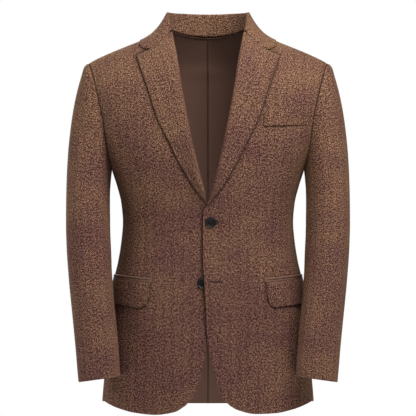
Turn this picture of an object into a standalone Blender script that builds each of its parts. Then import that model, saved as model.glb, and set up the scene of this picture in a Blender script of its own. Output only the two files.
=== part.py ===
"""A two-button suit jacket with notch lapels, hollow, in the form that it has when it is worn.

The cloth is a thin wall. The body is one smooth surface, given by its depths and widths at each
height, and every body piece is a patch of it. The sleeves are rings that fan out from the armhole.
What lies on a panel (lapels, collar, flaps, welts) is made from the panel's points, moved out.

Sizes are in millimetres and become metres when a mesh is made. +Z is up, the front faces -Y, and
"left" and "right" are the wearer's: left is +X. The origin is between the shoulders, at the
middle of the shoulder line, where the wearer carries the jacket.
"""

import math

import bpy
import bmesh
import numpy as np

MM = 0.001

# Cloth and seams
WALL = 2.0  # body, sleeve and lapel cloth with its interlining
SEAM = 0.3  # air between two pieces that are sewn edge to edge
SLEEVE_SEAM = 0.5  # the same along the sleeves, where the wall twists into the armhole
REST = 0.6  # air under a piece that lies on a panel
CLOTH_COLOUR = (0.155, 0.078, 0.050, 1.0)
BUTTON_COLOUR = (0.012, 0.011, 0.011, 1.0)

# Armhole: an oval around the shoulder tip and the underarm point
ARMHOLE_TOP = -45.0
ARMHOLE_BOTTOM = -256.0
ARMHOLE_MIDDLE = (ARMHOLE_TOP + ARMHOLE_BOTTOM) / 2
ARMHOLE_HALF_HEIGHT = (ARMHOLE_TOP - ARMHOLE_BOTTOM) / 2
ARMHOLE_DEPTH_FRONT = 68.0
ARMHOLE_DEPTH_BACK = 72.0

# Seams of the body, as angles round it from the front middle line
SIDE_FRONT_SEAM = 78.0
SIDE_BACK_SEAM = 117.0

# How square the cross-sections are: 0 is an ellipse
BODY_SQUARENESS = 0.14
SLEEVE_SQUARENESS = 0.10

# Where the two fronts cross, the left one lies over the right one
LAP_PUSH = 1.8  # each front leaves the body's surface by this much, one out and one in
LAP_WIDTH = (25.0, 60.0)  # full push up to the first distance from the middle, none past the second
LAP_START_Z, LAP_FADE = -290.0, 20.0  # the push grows in over this stretch below the start
LAP_LIFT = 3.4  # the over front also rises over the lower button
RIDGE_NEAR = 6.0  # this close below the shoulder line, outward turns from the panel's to the ridge's

BUTTON_DIAMETER = 21.0
BUTTON_THICKNESS = 2.7
BUTTON_UPPER = (6.0, -355.0)  # x, z
BUTTON_LOWER = (-11.0, -474.0)

NECK_POINT = (77.5, 22.4)  # x, z: where the shoulder seam meets the collar
NECK_BACK_Z = 5.0  # the neck seam at the centre back
SIDE_HEM_Z = -704.0
BACK_HEM_Z = -710.0

LEFT, RIGHT = 1, -1


class Profile:
    """A smooth curve through the rows of a table. The first column is the key."""

    def __init__(self, columns, rows):
        rows = sorted(rows)
        self.keys = np.array([row[0] for row in rows], float)
        self.columns = {
            name: np.array([row[i] for row in rows], float) for i, name in enumerate(columns)
        }
        self.slopes = {name: self._slopes(values) for name, values in self.columns.items()}

    def _slopes(self, values):
        steps = np.diff(values) / np.diff(self.keys)
        slopes = np.zeros_like(values)
        slopes[0], slopes[-1] = steps[0], steps[-1]
        for i in range(1, len(values) - 1):
            before, after = steps[i - 1], steps[i]
            if before * after > 0:
                slopes[i] = 2 * before * after / (before + after)
        return slopes

    def at(self, name, key):
        values, slopes = self.columns[name], self.slopes[name]
        key = float(np.clip(key, self.keys[0], self.keys[-1]))
        i = int(np.clip(np.searchsorted(self.keys, key) - 1, 0, len(self.keys) - 2))
        span = self.keys[i + 1] - self.keys[i]
        t = (key - self.keys[i]) / span
        return float(
            (1 + 2 * t) * (1 - t) ** 2 * values[i]
            + t * (1 - t) ** 2 * span * slopes[i]
            + t * t * (3 - 2 * t) * values[i + 1]
            + t * t * (t - 1) * span * slopes[i + 1]
        )


# Depth of the body in front of and behind the shoulder line
BODY_DEPTH = Profile(
    ("z", "front", "back"),
    [
        (60, 44, 52),
        (20, 66, 68),
        (-20, 84, 84),
        (-60, 98, 99),
        (-110, 113, 112),
        (-160, 123, 120),
        (-210, 128, 123),
        (-260, 128, 121),
        (-310, 123, 113),
        (-355, 118, 105),
        (-400, 117, 103),
        (-450, 119, 109),
        (-510, 122, 117),
        (-570, 125, 122),
        (-640, 127, 125),
        (-740, 129, 128),
    ],
)

# Half width of the body below the armhole
BODY_WIDTH = Profile(
    ("z", "half"),
    [
        (-256, 186.8),
        (-286, 177),
        (-319, 169),
        (-355, 166),
        (-392, 169),
        (-435, 176),
        (-461, 182),
        (-520, 188),
        (-600, 196.5),
        (-675, 204),
        (-740, 209),
    ],
)

# The armhole seam in the front view
ARMHOLE = Profile(
    ("z", "x"),
    [
        (-45, 231.4),
        (-81, 221),
        (-113, 213.5),
        (-151, 205.5),
        (-201, 198.5),
        (-225, 194.5),
        (-245, 189.5),
        (-256, 186.8),
    ],
)

# The shoulder line in the front view; it runs on over the neck, where it only shapes the body
SHOULDER = Profile(
    ("x", "z"),
    [
        (0, 54),
        (40, 39),
        (77.5, 22.4),
        (131, -1),
        (163, -13.8),
        (192.5, -26),
        (214.5, -36),
        (231.4, -45),
        (262, -62),
    ],
)

# The inner edge of both fronts, down the roll line to the end of the lapel
ROLL = [
    # z, x
    (22.4, 77.5),
    (11, 70.8),
    (-4, 68.2),
    (-34, 62.5),
    (-94, 53.5),
    (-158, 41.5),
    (-216, 29),
    (-270, 16),
    (-300, 7.5),
    (-312, 4),
]
ROLL_LINE = Profile(("z", "x"), ROLL)

# From there down, the edge of each front to the middle of its rounded corner
EDGE_OVER = ROLL + [
    (-322, -3),
    (-335, -9),
    (-360, -9.8),
    (-410, -9.8),
    (-468, -7.4),
    (-531, -3.9),
    (-583, -1.2),
    (-610, 3),
    (-650, 12.5),
    (-672, 18.7),
    (-690, 26),
    (-702, 33),
    (-712, 43),
]
EDGE_UNDER = ROLL + [
    (-322, -4),
    (-335, -14),
    (-355, -17),
    (-400, -15),
    (-474, -7),
    (-540, -1.5),
    (-599, 3),
    (-627, 8.5),
    (-655, 14),
    (-685, 24),
    (-700, 33),
    (-711, 43),
]

# The hem of each front, from the rounded corner to the side
HEM_OVER = [
    # x, z
    (43, -712),
    (57, -720),
    (93, -728),
    (129, -726.5),
    (165, -719),
    (192, -709),
    (202, SIDE_HEM_Z),
]
HEM_UNDER = [
    (43, -711),
    (65, -724),
    (102, -729.5),
    (139, -726),
    (177, -716),
    (193, -709),
    (202, SIDE_HEM_Z),
]

# Rows of the body below the armhole, and how the slanting rows above it run in to the front edge
LOWER_ROWS = (-275, -292, -307, -320, -334, -355, -384, -415, -446, -474, -506, -540, -580, -615, -648, -678)
ROW_SLANT = Profile(
    ("at_armhole", "at_edge"),
    [
        (-45, 22.4),
        (-60, 6),
        (-85, -26),
        (-115, -68),
        (-151, -120),
        (-190, -174),
        (-225, -218),
        (-256, -256),
        (-300, -300),
        (-620, -622),
        (-678, -685),
        (-704, -712),
    ],
)

# Sleeve rings, from the armhole to the cuff: outer and inner point in the front view, how far
# the middle of the ring lies from the shoulder line, and half its depth
SLEEVE_RINGS = [
    # outer_x, outer_z, inner_x, inner_z, middle_y, half_depth, armhole_share
    (231.75, -45, 187.15, -256, 0, 70, 1.00),
    (237, -48, 187.5, -258.5, 0, 70, 0.90),
    (242, -54, 188, -262, 0, 70, 0.74),
    (247, -70, 188.6, -267, -1, 70.5, 0.55),
    (255.5, -101, 189.4, -276, -2, 71, 0.30),
    (263.5, -141, 190.5, -290, -5, 71.5, 0.12),
    (269, -181, 191, -306, -9, 71.5, 0),
    (273, -222, 191, -323, -14, 71, 0),
    (275.3, -265, 190.7, -342, -20, 70, 0),
    (276.3, -310, 190.2, -363, -28, 69, 0),
    (276.5, -356, 189.5, -388, -37, 67, 0),
    (275.2, -403, 188, -420, -47, 65, 0),
    (271.5, -456, 186, -462, -58, 61, 0),
    (267, -507, 183, -507, -71, 57, 0),
    (262, -556, 177.8, -555, -84, 53.5, 0),
    (257, -606, 173.8, -600, -97, 50.5, 0),
    (254, -642, 171.6, -632, -106, 48, 0),
    (251.7, -666, 170.6, -654.5, -110, 46.5, 0),
]
SLEEVE_FRONT_SEAM_STEP = 15  # counted round the armhole's points from the shoulder tip
SLEEVE_BACK_SEAM_STEP = 27

# Lapel: its outer edge, from the tip down to where it runs into the front edge
GORGE_START_Z = 14.0
NOTCH = (109.0, -16.0)
LAPEL_TIP = (137.0, -30.0)
LAPEL_EDGE = [
    # x, z
    LAPEL_TIP,
    (131, -54),
    (122.5, -79),
    (114, -106),
    (105, -135),
    (95.5, -160),
    (84, -183),
    (71, -209),
    (60, -232),
    (47, -255),
    (32, -279),
    (20, -295),
    (13, -304),
]
LAPEL_ROLL_END_Z = -299.0
GORGE_AIR = 1.1  # between the lapel's top and the collar's end, which curve differently
LAPEL_ROWS = 15
LAPEL_FULL_WIDTH = 16.0  # where the lapel is narrower than this, its fold shrinks with it
# The lapel across its fold: from behind the front's edge, round the fold and out over the front
LAPEL_FOLD = [
    # out, lift
    (-2.7, -1.7),
    (-3.1, 0.6),
    (-2.6, 3.2),
    (-0.6, 5.2),
    (3.2, 6.0),
]
LAPEL_REACH = [
    # share of the way to the outer edge, lift
    (0.20, 5.4),
    (0.40, 4.5),
    (0.60, 3.9),
    (0.80, 3.5),
    (1.00, 3.3),
]

# Collar, from the centre back to its end at the gorge: where its stand starts on the neck seam,
# where its outer edge lies, and how far its fold is above the neck seam
COLLAR_STATIONS = [
    # neck_x, neck_z, edge_x, edge_z, on_front, rise, tilt (0 straight up, 1 along the panel's normal)
    (0, 5, 0, -3, False, 44, 0),
    (14, 5.4, 19, -3, False, 43.8, 0),
    (28, 6.6, 38, -2.9, False, 43, 0),
    (42, 8.8, 57, -2.6, False, 41.5, 0),
    (54, 11.8, 76, -2.1, False, 39, 0),
    (64, 15.4, 94, -1.5, False, 36, 0),
    (72, 19.2, 112, -0.8, False, 33, 0),
    (77.5, 22.3, 130.5, -0.9, False, 30.5, 0),
    (76.3, 20.4, 132, -3.6, True, 26, 0.1),
    (74.6, 18.5, 132.8, -5.8, True, 20, 0.25),
    (72.6, 16.6, 132.8, -7.8, True, 13, 0.5),
    (71, GORGE_START_Z + 1.2, 132.2, -9.4, True, 8.5, 0.8),
    (70.0, GORGE_START_Z, 131.5, -10.5, True, 6, 1),
]
COLLAR_FOLD_RADIUS = 2.3
COLLAR_STAND_IN = 1.0  # the stand's middle lies this far inside the neck seam
COLLAR_STAND_START = 0.6  # the stand starts this much above the neck seam's air
COLLAR_EDGE_LIFT = 3.3
COLLAR_FALL_CURVE = 2.6
COLLAR_NOTCH_SHARE = 0.6394  # of the way from the neck seam to the edge, at the collar's end
COLLAR_FALL_SHARES = (0.0, 0.09, 0.2, 0.36, 0.52, COLLAR_NOTCH_SHARE, 0.82, 1.0)

# Hip pockets, in the front view: the band above the flap and the flap itself
FLAP_FRONT_X = 113.0
FLAP_END_ANGLE = 96.0
JET_TOP = [(110, -465), (146, -461.5), (184, -457.5)]
FLAP_TOP = [(110, -472), (146, -468.2), (184, -464.3)]
FLAP_BOTTOM = [(110, -523), (129, -521), (146, -518.5), (184, -512.5)]
FLAP_CORNER = (15.0, 27.0)  # how far the rounded corner runs along and up
FLAP_CROWDING = 1.5  # draws the flap's columns together at that corner
JET_WALL = 1.2
FLAP_WALL = 2.0

# Breast welt on the left front
WELT_X = (108.0, 188.6)
WELT_TOP_Z = (-144.0, -141.0)
WELT_BOTTOM_Z = (-170.0, -166.0)
WELT_WALL = 1.6

# Shallow folds that the worn cloth holds: a ridge or trough along a line on the body's front
BODY_FOLDS = [
    # x, z, half_length, half_width, slope (rise over run), height
    (84, -388, 48, 16, -0.42, -1.6),
    (-84, -388, 48, 16, 0.40, -1.6),
    (84, -318, 44, 16, 0.34, 1.4),
    (-84, -320, 44, 16, -0.34, 1.4),
    (150, -232, 40, 11, 1.2, -1.8),
    (-150, -232, 40, 11, -1.2, -1.8),
    (70, -585, 90, 26, 3.5, 1.8),
    (-85, -590, 90, 26, -3.5, 1.8),
]


# ---------------------------------------------------------------- the body's surface


def square_sine(angle, squareness):
    """Sideways share of a cross-section at an angle in degrees from its front middle."""
    a = np.radians(angle)
    return np.sin(a) * (1 + squareness * np.cos(a) ** 2)


def square_cosine(angle, squareness):
    """Forward share of a cross-section at an angle in degrees from its front middle."""
    a = np.radians(angle)
    return np.cos(a) * (1 + squareness * np.sin(a) ** 2)


QUARTER = np.linspace(0.0, 90.0, 361)
QUARTER_SINE = square_sine(QUARTER, BODY_SQUARENESS)
QUARTER_COSINE = square_cosine(QUARTER, BODY_SQUARENESS)


def shoulder_closing(x, z):
    """From 0 on the shoulder line to 1 where the body has its full depth."""
    below = SHOULDER.at("z", abs(x)) - z
    share = float(np.clip(below / ARMHOLE_HALF_HEIGHT, 0.0, 1.0))
    return math.sqrt(1 - (1 - share) ** 2)


def armhole_depth(z, on_front):
    """Distance of the armhole seam from the shoulder line's plane at a height."""
    share = (z - ARMHOLE_MIDDLE) / ARMHOLE_HALF_HEIGHT
    depth = ARMHOLE_DEPTH_FRONT if on_front else ARMHOLE_DEPTH_BACK
    return depth * math.sqrt(max(0.0, 1 - share * share))


def armhole_angle(z, on_front):
    """Angle from the front (or back) middle at which the armhole seam lies at a height."""
    z = min(z, ARMHOLE_TOP - 0.05)
    depth = BODY_DEPTH.at("front" if on_front else "back", z)
    depth *= shoulder_closing(ARMHOLE.at("x", z), z)
    share = armhole_depth(z, on_front) / depth
    return float(np.interp(-share, -QUARTER_COSINE, QUARTER))


def body_half_width(z, on_front):
    """Half width of the full cross-section; above the underarm it passes through the armhole."""
    if z <= ARMHOLE_BOTTOM:
        return BODY_WIDTH.at("half", z)
    z = min(z, ARMHOLE_TOP - 0.05)
    angle = armhole_angle(z, on_front)
    return ARMHOLE.at("x", z) / float(np.interp(angle, QUARTER, QUARTER_SINE))


WIDTH_HEIGHTS = np.linspace(-745.0, 60.0, 806)
WIDTHS = {
    on_front: np.array([body_half_width(z, on_front) for z in WIDTH_HEIGHTS])
    for on_front in (True, False)
}


def half_width(z, on_front):
    return float(np.interp(z, WIDTH_HEIGHTS, WIDTHS[on_front]))


def fold_height(x, z):
    """Sum of the shallow folds at a place on the body's front."""
    total = 0.0
    for fold_x, fold_z, half_length, half_fold, slope, height in BODY_FOLDS:
        run = math.hypot(1.0, slope)
        along = ((x - fold_x) + (z - fold_z) * slope) / run
        across = ((z - fold_z) - (x - fold_x) * slope) / run
        total += height * math.exp(-((along / half_length) ** 2) - (across / half_fold) ** 2)
    return total


def body_point(angle, z, lap=0.0):
    """Point of the body's surface: angle in degrees from the front middle, positive to the left."""
    on_front = abs(angle) < 90
    x = half_width(z, on_front) * square_sine(angle, BODY_SQUARENESS)
    depth = BODY_DEPTH.at("front" if on_front else "back", z) * shoulder_closing(x, z)
    y = -depth * square_cosine(angle, BODY_SQUARENESS)
    if on_front:
        y -= fold_height(x, z) * min(1.0, depth / 60)
        y -= lap * lap_offset(x, z, lap)
    return np.array((x, y, z))


def lap_offset(x, z, lap):
    """How far a front leaves the body's surface where the two fronts cross."""
    near, far = LAP_WIDTH
    share = float(np.clip((far - abs(x)) / (far - near), 0, 1))
    share = share * share * (3 - 2 * share)
    fade = float(np.clip((LAP_START_Z - z) / LAP_FADE, 0, 1))
    lift = LAP_LIFT * math.exp(-(((z - BUTTON_LOWER[1]) / 55) ** 2)) if lap > 0 else 0.0
    return (LAP_PUSH + lift) * share * fade


def body_angle(x, z, on_front=True):
    """Angle at which the surface has this x at this height."""
    share = min(abs(x) / half_width(z, on_front), 1.0)
    angle = float(np.interp(share, QUARTER_SINE, QUARTER))
    angle = angle if on_front else 180 - angle
    return math.copysign(angle, x)


def body_normal(angle, z, lap=0.0):
    """Outward direction of the body's surface."""
    step = 0.4
    round_it = body_point(angle + step, z, lap) - body_point(angle - step, z, lap)
    up = body_point(angle, z + 1.0, lap) - body_point(angle, z - 1.0, lap)
    normal = np.cross(round_it, up)
    return normal / np.linalg.norm(normal)


def place_on_body(x, z, lift, on_front=True, lap=0.0):
    """Point at a distance out from the surface, given by its place in the front or back view."""
    angle = body_angle(x, z, on_front)
    return body_point(angle, z, lap) + lift * steady_normal(angle, z, lap)


def steady_normal(angle, z, lap=0.0):
    """Outward direction that also holds close to the shoulder line."""
    point = body_point(angle, z, lap)
    below = SHOULDER.at("z", abs(point[0])) - z
    if below > RIDGE_NEAR:
        return body_normal(angle, z, lap)
    x = point[0]
    slope = (SHOULDER.at("z", abs(x) + 2) - SHOULDER.at("z", abs(x) - 2)) / 4
    ridge = np.array((-math.copysign(slope, x), 0.0, 1.0))
    lower_z = z - RIDGE_NEAR
    lower = body_normal(body_angle(x, lower_z, abs(angle) < 90), lower_z, lap)
    share = max(below, 0.0) / RIDGE_NEAR
    normal = ridge / np.linalg.norm(ridge) * (1 - share) + lower * share
    return normal / np.linalg.norm(normal)


# ---------------------------------------------------------------- meshes


def finish(colour, roughness, name):
    material = bpy.data.materials.new(name)
    material.use_nodes = True
    shader = material.node_tree.nodes["Principled BSDF"]
    shader.inputs["Base Color"].default_value = colour
    shader.inputs["Roughness"].default_value = roughness
    shader.inputs["Metallic"].default_value = 0.0
    material.diffuse_color = colour
    return material


def add_object(name, points, faces, colour, roughness):
    """Make one closed, outward-facing object from points in millimetres."""
    mesh = bpy.data.meshes.new(name)
    mesh.from_pydata([tuple(float(c) * MM for c in p) for p in points], [], faces)
    shell = bmesh.new()
    shell.from_mesh(mesh)
    bmesh.ops.recalc_face_normals(shell, faces=shell.faces)
    shell.to_mesh(mesh)
    shell.free()
    mesh.shade_smooth()
    mesh.set_sharp_from_angle(angle=math.radians(40))
    mesh.materials.append(finish(colour, roughness, name))
    obj = bpy.data.objects.new(name, mesh)
    bpy.context.scene.collection.objects.link(obj)
    return obj


def grid_normals(grid, closed=False):
    """Outward directions of a grid of points; closed joins its last column to its first."""
    across = directions(grid.swapaxes(0, 1), closed).swapaxes(0, 1)
    normals = np.cross(directions(grid), across)
    return normals / np.linalg.norm(normals, axis=2, keepdims=True)


def directions(grid, closed=False):
    """Directions of the lines that run down a grid, halfway between their neighbouring steps."""
    steps = np.diff(np.concatenate([grid, grid[:1]]) if closed else grid, axis=0)
    steps /= np.linalg.norm(steps, axis=2, keepdims=True)
    before = np.concatenate([steps[-1:] if closed else steps[:1], steps])
    after = steps if closed else np.concatenate([steps, steps[-1:]])
    return before[: len(after)] + after


def draw_in(grid, sides, air):
    """Move the named sides of a grid in by half the seam's air."""
    grid = grid.copy()
    pairs = {"top": (0, 1), "bottom": (-1, -2)}
    for side in sides:
        if side in pairs:
            edge, next_to = grid[pairs[side][0]], grid[pairs[side][1]]
        else:
            edge, next_to = {"first": (grid[:, 0], grid[:, 1]), "last": (grid[:, -1], grid[:, -2])}[side]
        way = next_to - edge
        edge += way / np.linalg.norm(way, axis=1, keepdims=True) * air / 2
    return grid


def cloth(name, outer, inner, seams=(), air=SEAM):
    """Make a wall between two grids of points, closed round its rim."""
    outer, inner = draw_in(outer, seams, air), draw_in(inner, seams, air)
    rows, columns = outer.shape[:2]
    points = np.concatenate([outer.reshape(-1, 3), inner.reshape(-1, 3)])
    under = rows * columns

    def at(i, j, layer):
        return i * columns + j + layer * under

    faces = []
    for i in range(rows - 1):
        for j in range(columns - 1):
            faces.append((at(i, j, 0), at(i, j + 1, 0), at(i + 1, j + 1, 0), at(i + 1, j, 0)))
            faces.append((at(i, j, 1), at(i + 1, j, 1), at(i + 1, j + 1, 1), at(i, j + 1, 1)))
    rim = [(0, j) for j in range(columns)]
    rim += [(i, columns - 1) for i in range(1, rows)]
    rim += [(rows - 1, j) for j in range(columns - 2, -1, -1)]
    rim += [(i, 0) for i in range(rows - 2, 0, -1)]
    for here, there in zip(rim, rim[1:] + rim[:1]):
        faces.append((at(*here, 0), at(*here, 1), at(*there, 1), at(*there, 0)))
    return add_object(name, points, faces, CLOTH_COLOUR, 0.9)


def mirrored(grid):
    """The same grid on the wearer's right."""
    return grid * np.array((-1.0, 1.0, 1.0))


# ---------------------------------------------------------------- body panels


def armhole_steps():
    """Angles round the armhole from the shoulder tip, forward and down, with the body's two side
    seams among them; also how many steps there are to each seam."""
    angle_at = {}
    for on_front, seam in ((True, SIDE_FRONT_SEAM), (False, 180 - SIDE_BACK_SEAM)):
        heights = np.linspace(ARMHOLE_MIDDLE, ARMHOLE_BOTTOM, 400)
        angles = [armhole_angle(z, on_front) for z in heights]
        z = float(np.interp(seam, angles, heights))
        turn = math.degrees(math.acos((z - ARMHOLE_MIDDLE) / ARMHOLE_HALF_HEIGHT))
        angle_at[on_front] = turn if on_front else 360 - turn
    to_front, to_back, round_it = 13, 21, 32
    steps = np.concatenate(
        [
            np.linspace(0, angle_at[True], to_front + 1)[:-1],
            np.linspace(angle_at[True], angle_at[False], to_back - to_front + 1)[:-1],
            np.linspace(angle_at[False], 360, round_it - to_back + 1)[:-1],
        ]
    )
    return steps, to_front, to_back


ARMHOLE_STEPS, STEPS_TO_FRONT_SEAM, STEPS_TO_BACK_SEAM = armhole_steps()


def armhole_place(turn):
    """(angle round the body, z) of the armhole seam at a turn in degrees from the shoulder tip."""
    z = ARMHOLE_MIDDLE + ARMHOLE_HALF_HEIGHT * math.cos(math.radians(turn))
    on_front = turn <= 180
    angle = armhole_angle(z, on_front)
    if abs(turn - 180) < 1e-6:
        angle = 90.0
    return (angle if on_front else 180 - angle), z


def armhole_point(turn):
    """Point of the armhole seam, with the exact oval at its top and bottom."""
    z = ARMHOLE_MIDDLE + ARMHOLE_HALF_HEIGHT * math.cos(math.radians(turn))
    on_front = turn <= 180
    y = armhole_depth(z, on_front) * (-1 if on_front else 1)
    return np.array((ARMHOLE.at("x", z), y, z))


def blend_patch(top, bottom, first, last):
    """Fill four boundary lines, given as (angle, z) pairs, with an even grid of such pairs."""
    top, bottom, first, last = (np.array(line, float) for line in (top, bottom, first, last))
    s = np.linspace(0, 1, len(top))[None, :, None]
    t = np.linspace(0, 1, len(first))[:, None, None]
    sides = (1 - s) * first[:, None] + s * last[:, None]
    ends = (1 - t) * top[None] + t * bottom[None]
    corners = (1 - t) * ((1 - s) * top[0] + s * top[-1]) + t * ((1 - s) * bottom[0] + s * bottom[-1])
    return sides + ends - corners


def body_wall(places, lap=0.0, ridge_side=0, armhole_rows=0):
    """Outer and inner points of a patch of the body. ridge_side is -1 on a front and 1 on a back,
    whose wall must not cross the shoulder line. armhole_rows counts the rows that end there."""
    rows, columns = places.shape[:2]
    outer = np.zeros((rows, columns, 3))
    inner = np.zeros((rows, columns, 3))
    for i in range(rows):
        for j in range(columns):
            angle, z = places[i, j]
            outer[i, j] = body_point(angle, z, lap)
            inner[i, j] = outer[i, j] - WALL * steady_normal(angle, z, lap)
    if ridge_side:
        outer[0, :, 1] = 0.0
        inner[0, :, 1] = 0.0
        inner[..., 1] = ridge_side * np.maximum(ridge_side * inner[..., 1], 0.0)
    inner[:armhole_rows, -1, 0] = np.minimum(inner[:armhole_rows, -1, 0], outer[:armhole_rows, -1, 0])
    return outer, inner


def shoulder_line(count, on_front):
    """(angle, z) pairs along the shoulder seam, from the neck to the tip."""
    tip_x = ARMHOLE.at("x", ARMHOLE_TOP)
    line = []
    for x in np.linspace(NECK_POINT[0], tip_x, count):
        z = SHOULDER.at("z", x)
        line.append((body_angle(x, z, on_front), z))
    return line


def front_panel(edge, hem, lap):
    """The fore part, from its front edge to the side seam, as (outer, inner) on the left."""
    edge_line = Profile(("z", "x"), edge)
    last = [armhole_place(turn) for turn in ARMHOLE_STEPS[: STEPS_TO_FRONT_SEAM + 1]]
    last += [(SIDE_FRONT_SEAM, z) for z in LOWER_ROWS + (SIDE_HEM_Z,)]
    first = []
    for _, z_last in last:
        z = ROW_SLANT.at("at_edge", z_last)
        first.append((body_angle(edge_line.at("x", z), z), z))
    columns = 13
    top = shoulder_line(columns, True)
    hem_curve = Profile(("x", "z"), hem)
    hem_start = body_angle(hem[0][0], hem[0][1])
    bottom = []
    for angle in np.linspace(hem_start, SIDE_FRONT_SEAM, columns):
        x = body_point(angle, SIDE_HEM_Z)[0]
        bottom.append((angle, hem_curve.at("z", x)))
    bottom[0], bottom[-1] = (hem_start, hem[0][1]), (SIDE_FRONT_SEAM, SIDE_HEM_Z)
    first[0], first[-1], last[0], last[-1] = top[0], bottom[0], top[-1], bottom[-1]
    places = blend_patch(top, bottom, first, last)
    return body_wall(places, lap, -1, STEPS_TO_FRONT_SEAM + 1)


def side_panel():
    """The side body, under the armhole between the front and the back."""
    turns = ARMHOLE_STEPS[STEPS_TO_FRONT_SEAM : STEPS_TO_BACK_SEAM + 1]
    top = [armhole_place(turn) for turn in turns]
    first = [top[0]] + [(SIDE_FRONT_SEAM, z) for z in LOWER_ROWS + (SIDE_HEM_Z,)]
    last = [top[-1]] + [(SIDE_BACK_SEAM, z) for z in LOWER_ROWS + (SIDE_HEM_Z,)]
    bottom = [(angle, SIDE_HEM_Z) for angle in np.linspace(SIDE_FRONT_SEAM, SIDE_BACK_SEAM, len(top))]
    places = blend_patch(top, bottom, first, last)
    return body_wall(places)


def neck_seam(x):
    """Height of the back neck seam."""
    return NECK_BACK_Z + (NECK_POINT[1] - NECK_BACK_Z) * (abs(x) / NECK_POINT[0]) ** 2.2


def back_panel():
    """Half of the back, from the centre-back seam to the side seam and the armhole."""
    turns = list(ARMHOLE_STEPS[STEPS_TO_BACK_SEAM:]) + [360.0]
    last = [armhole_place(turn) for turn in reversed(turns)]
    last += [(SIDE_BACK_SEAM, z) for z in LOWER_ROWS + (SIDE_HEM_Z,)]
    last[0] = (shoulder_line(2, False)[-1][0], ARMHOLE_TOP)
    share = (np.array([z for _, z in last]) - ARMHOLE_TOP) / (SIDE_HEM_Z - ARMHOLE_TOP)
    first = [(180.0, NECK_BACK_Z + (BACK_HEM_Z - NECK_BACK_Z) * t) for t in share]
    neck = []
    for x in np.linspace(0, NECK_POINT[0], 5)[:-1]:
        neck.append((body_angle(x, neck_seam(x), False), neck_seam(x)))
    top = neck + shoulder_line(8, False)
    top[0] = first[0]
    bottom = []
    for t in np.linspace(0, 1, len(top)):
        bottom.append((180 + (SIDE_BACK_SEAM - 180) * t, BACK_HEM_Z + (SIDE_HEM_Z - BACK_HEM_Z) * t * t))
    places = blend_patch(top, bottom, first, last)
    outer, inner = body_wall(places, 0.0, 0, len(turns))
    shoulder = len(neck)
    outer[0, shoulder:, 1] = 0.0
    inner[0, shoulder:, 1] = 0.0
    inner[..., 1] = np.maximum(inner[..., 1], 0.0)
    inner[:, 0, 0] = 0.0
    return outer, inner


def make_body():
    for name, side, edge, hem, lap in (
        ("front_left", LEFT, EDGE_OVER, HEM_OVER, 1.0),
        ("front_right", RIGHT, EDGE_UNDER, HEM_UNDER, -1.0),
    ):
        outer, inner = front_panel(edge, hem, lap)
        if side == RIGHT:
            outer, inner = mirrored(outer), mirrored(inner)
        cloth(name, outer, inner, ("top", "last"))
    for piece, walls, seams in (
        ("side", side_panel(), ("first", "last")),
        ("back", back_panel(), ("top", "first", "last")),
    ):
        for name, side in (("left", LEFT), ("right", RIGHT)):
            outer, inner = walls if side == LEFT else (mirrored(walls[0]), mirrored(walls[1]))
            cloth(f"{piece}_{name}", outer, inner, seams)


# ---------------------------------------------------------------- sleeves


def sleeve_ring(row):
    """One ring of the sleeve, at the same steps as the armhole."""
    outer_x, outer_z, inner_x, inner_z, middle_y, half_depth, armhole_share = row
    start = SLEEVE_RINGS[0]
    ring = []
    for turn in ARMHOLE_STEPS:
        out = square_cosine(turn, SLEEVE_SQUARENESS)
        forward = square_sine(turn, SLEEVE_SQUARENESS)
        x = (outer_x + inner_x) / 2 + (outer_x - inner_x) / 2 * out
        z = (outer_z + inner_z) / 2 + (outer_z - inner_z) / 2 * out
        point = np.array((x, middle_y - half_depth * forward, z))
        start_x = (start[0] + start[2]) / 2 + (start[0] - start[2]) / 2 * out
        start_z = (start[1] + start[3]) / 2 + (start[1] - start[3]) / 2 * out
        plain = np.array((start_x, start[4] - start[5] * forward, start_z))
        seam = armhole_point(turn) + np.array((SEAM + 0.05, 0, 0))
        ring.append(point + armhole_share * (seam - plain))
    return ring


def make_sleeves():
    """Top and under sleeve, split at a front seam and a back seam."""
    outer = np.array([sleeve_ring(row) for row in SLEEVE_RINGS])
    normals = grid_normals(outer, closed=True)
    if normals[8, 0, 0] < 0:
        normals = -normals
    inner = outer - WALL * normals
    middle = outer[0].mean(axis=0)
    inward = (middle - outer[0]) * np.array((0, 1, 1))
    inner[0] = outer[0] + WALL * inward / np.linalg.norm(inward, axis=1, keepdims=True)
    count = len(ARMHOLE_STEPS)
    front, back = SLEEVE_FRONT_SEAM_STEP, SLEEVE_BACK_SEAM_STEP
    parts = {
        "sleeve_top": [i % count for i in range(back, count + front + 1)],
        "sleeve_under": list(range(front, back + 1)),
    }
    for piece, picks in parts.items():
        for name, side in (("left", LEFT), ("right", RIGHT)):
            out, into = outer[:, picks], inner[:, picks]
            if side == RIGHT:
                out, into = mirrored(out), mirrored(into)
            cloth(f"{piece}_{name}", out, into, ("first", "last"), SLEEVE_SEAM)


# ---------------------------------------------------------------- lapels and collar


def even_steps(line, count):
    """Points at equal distances along a line in the front view."""
    line = np.array(line, float)
    runs = np.concatenate([[0], np.cumsum(np.linalg.norm(np.diff(line, axis=0), axis=1))])
    curve_x = Profile(("run", "x"), list(zip(runs, line[:, 0])))
    curve_z = Profile(("run", "z"), list(zip(runs, line[:, 1])))
    return np.array(
        [(curve_x.at("x", r), curve_z.at("z", r)) for r in np.linspace(0, runs[-1], count)]
    )


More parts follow.
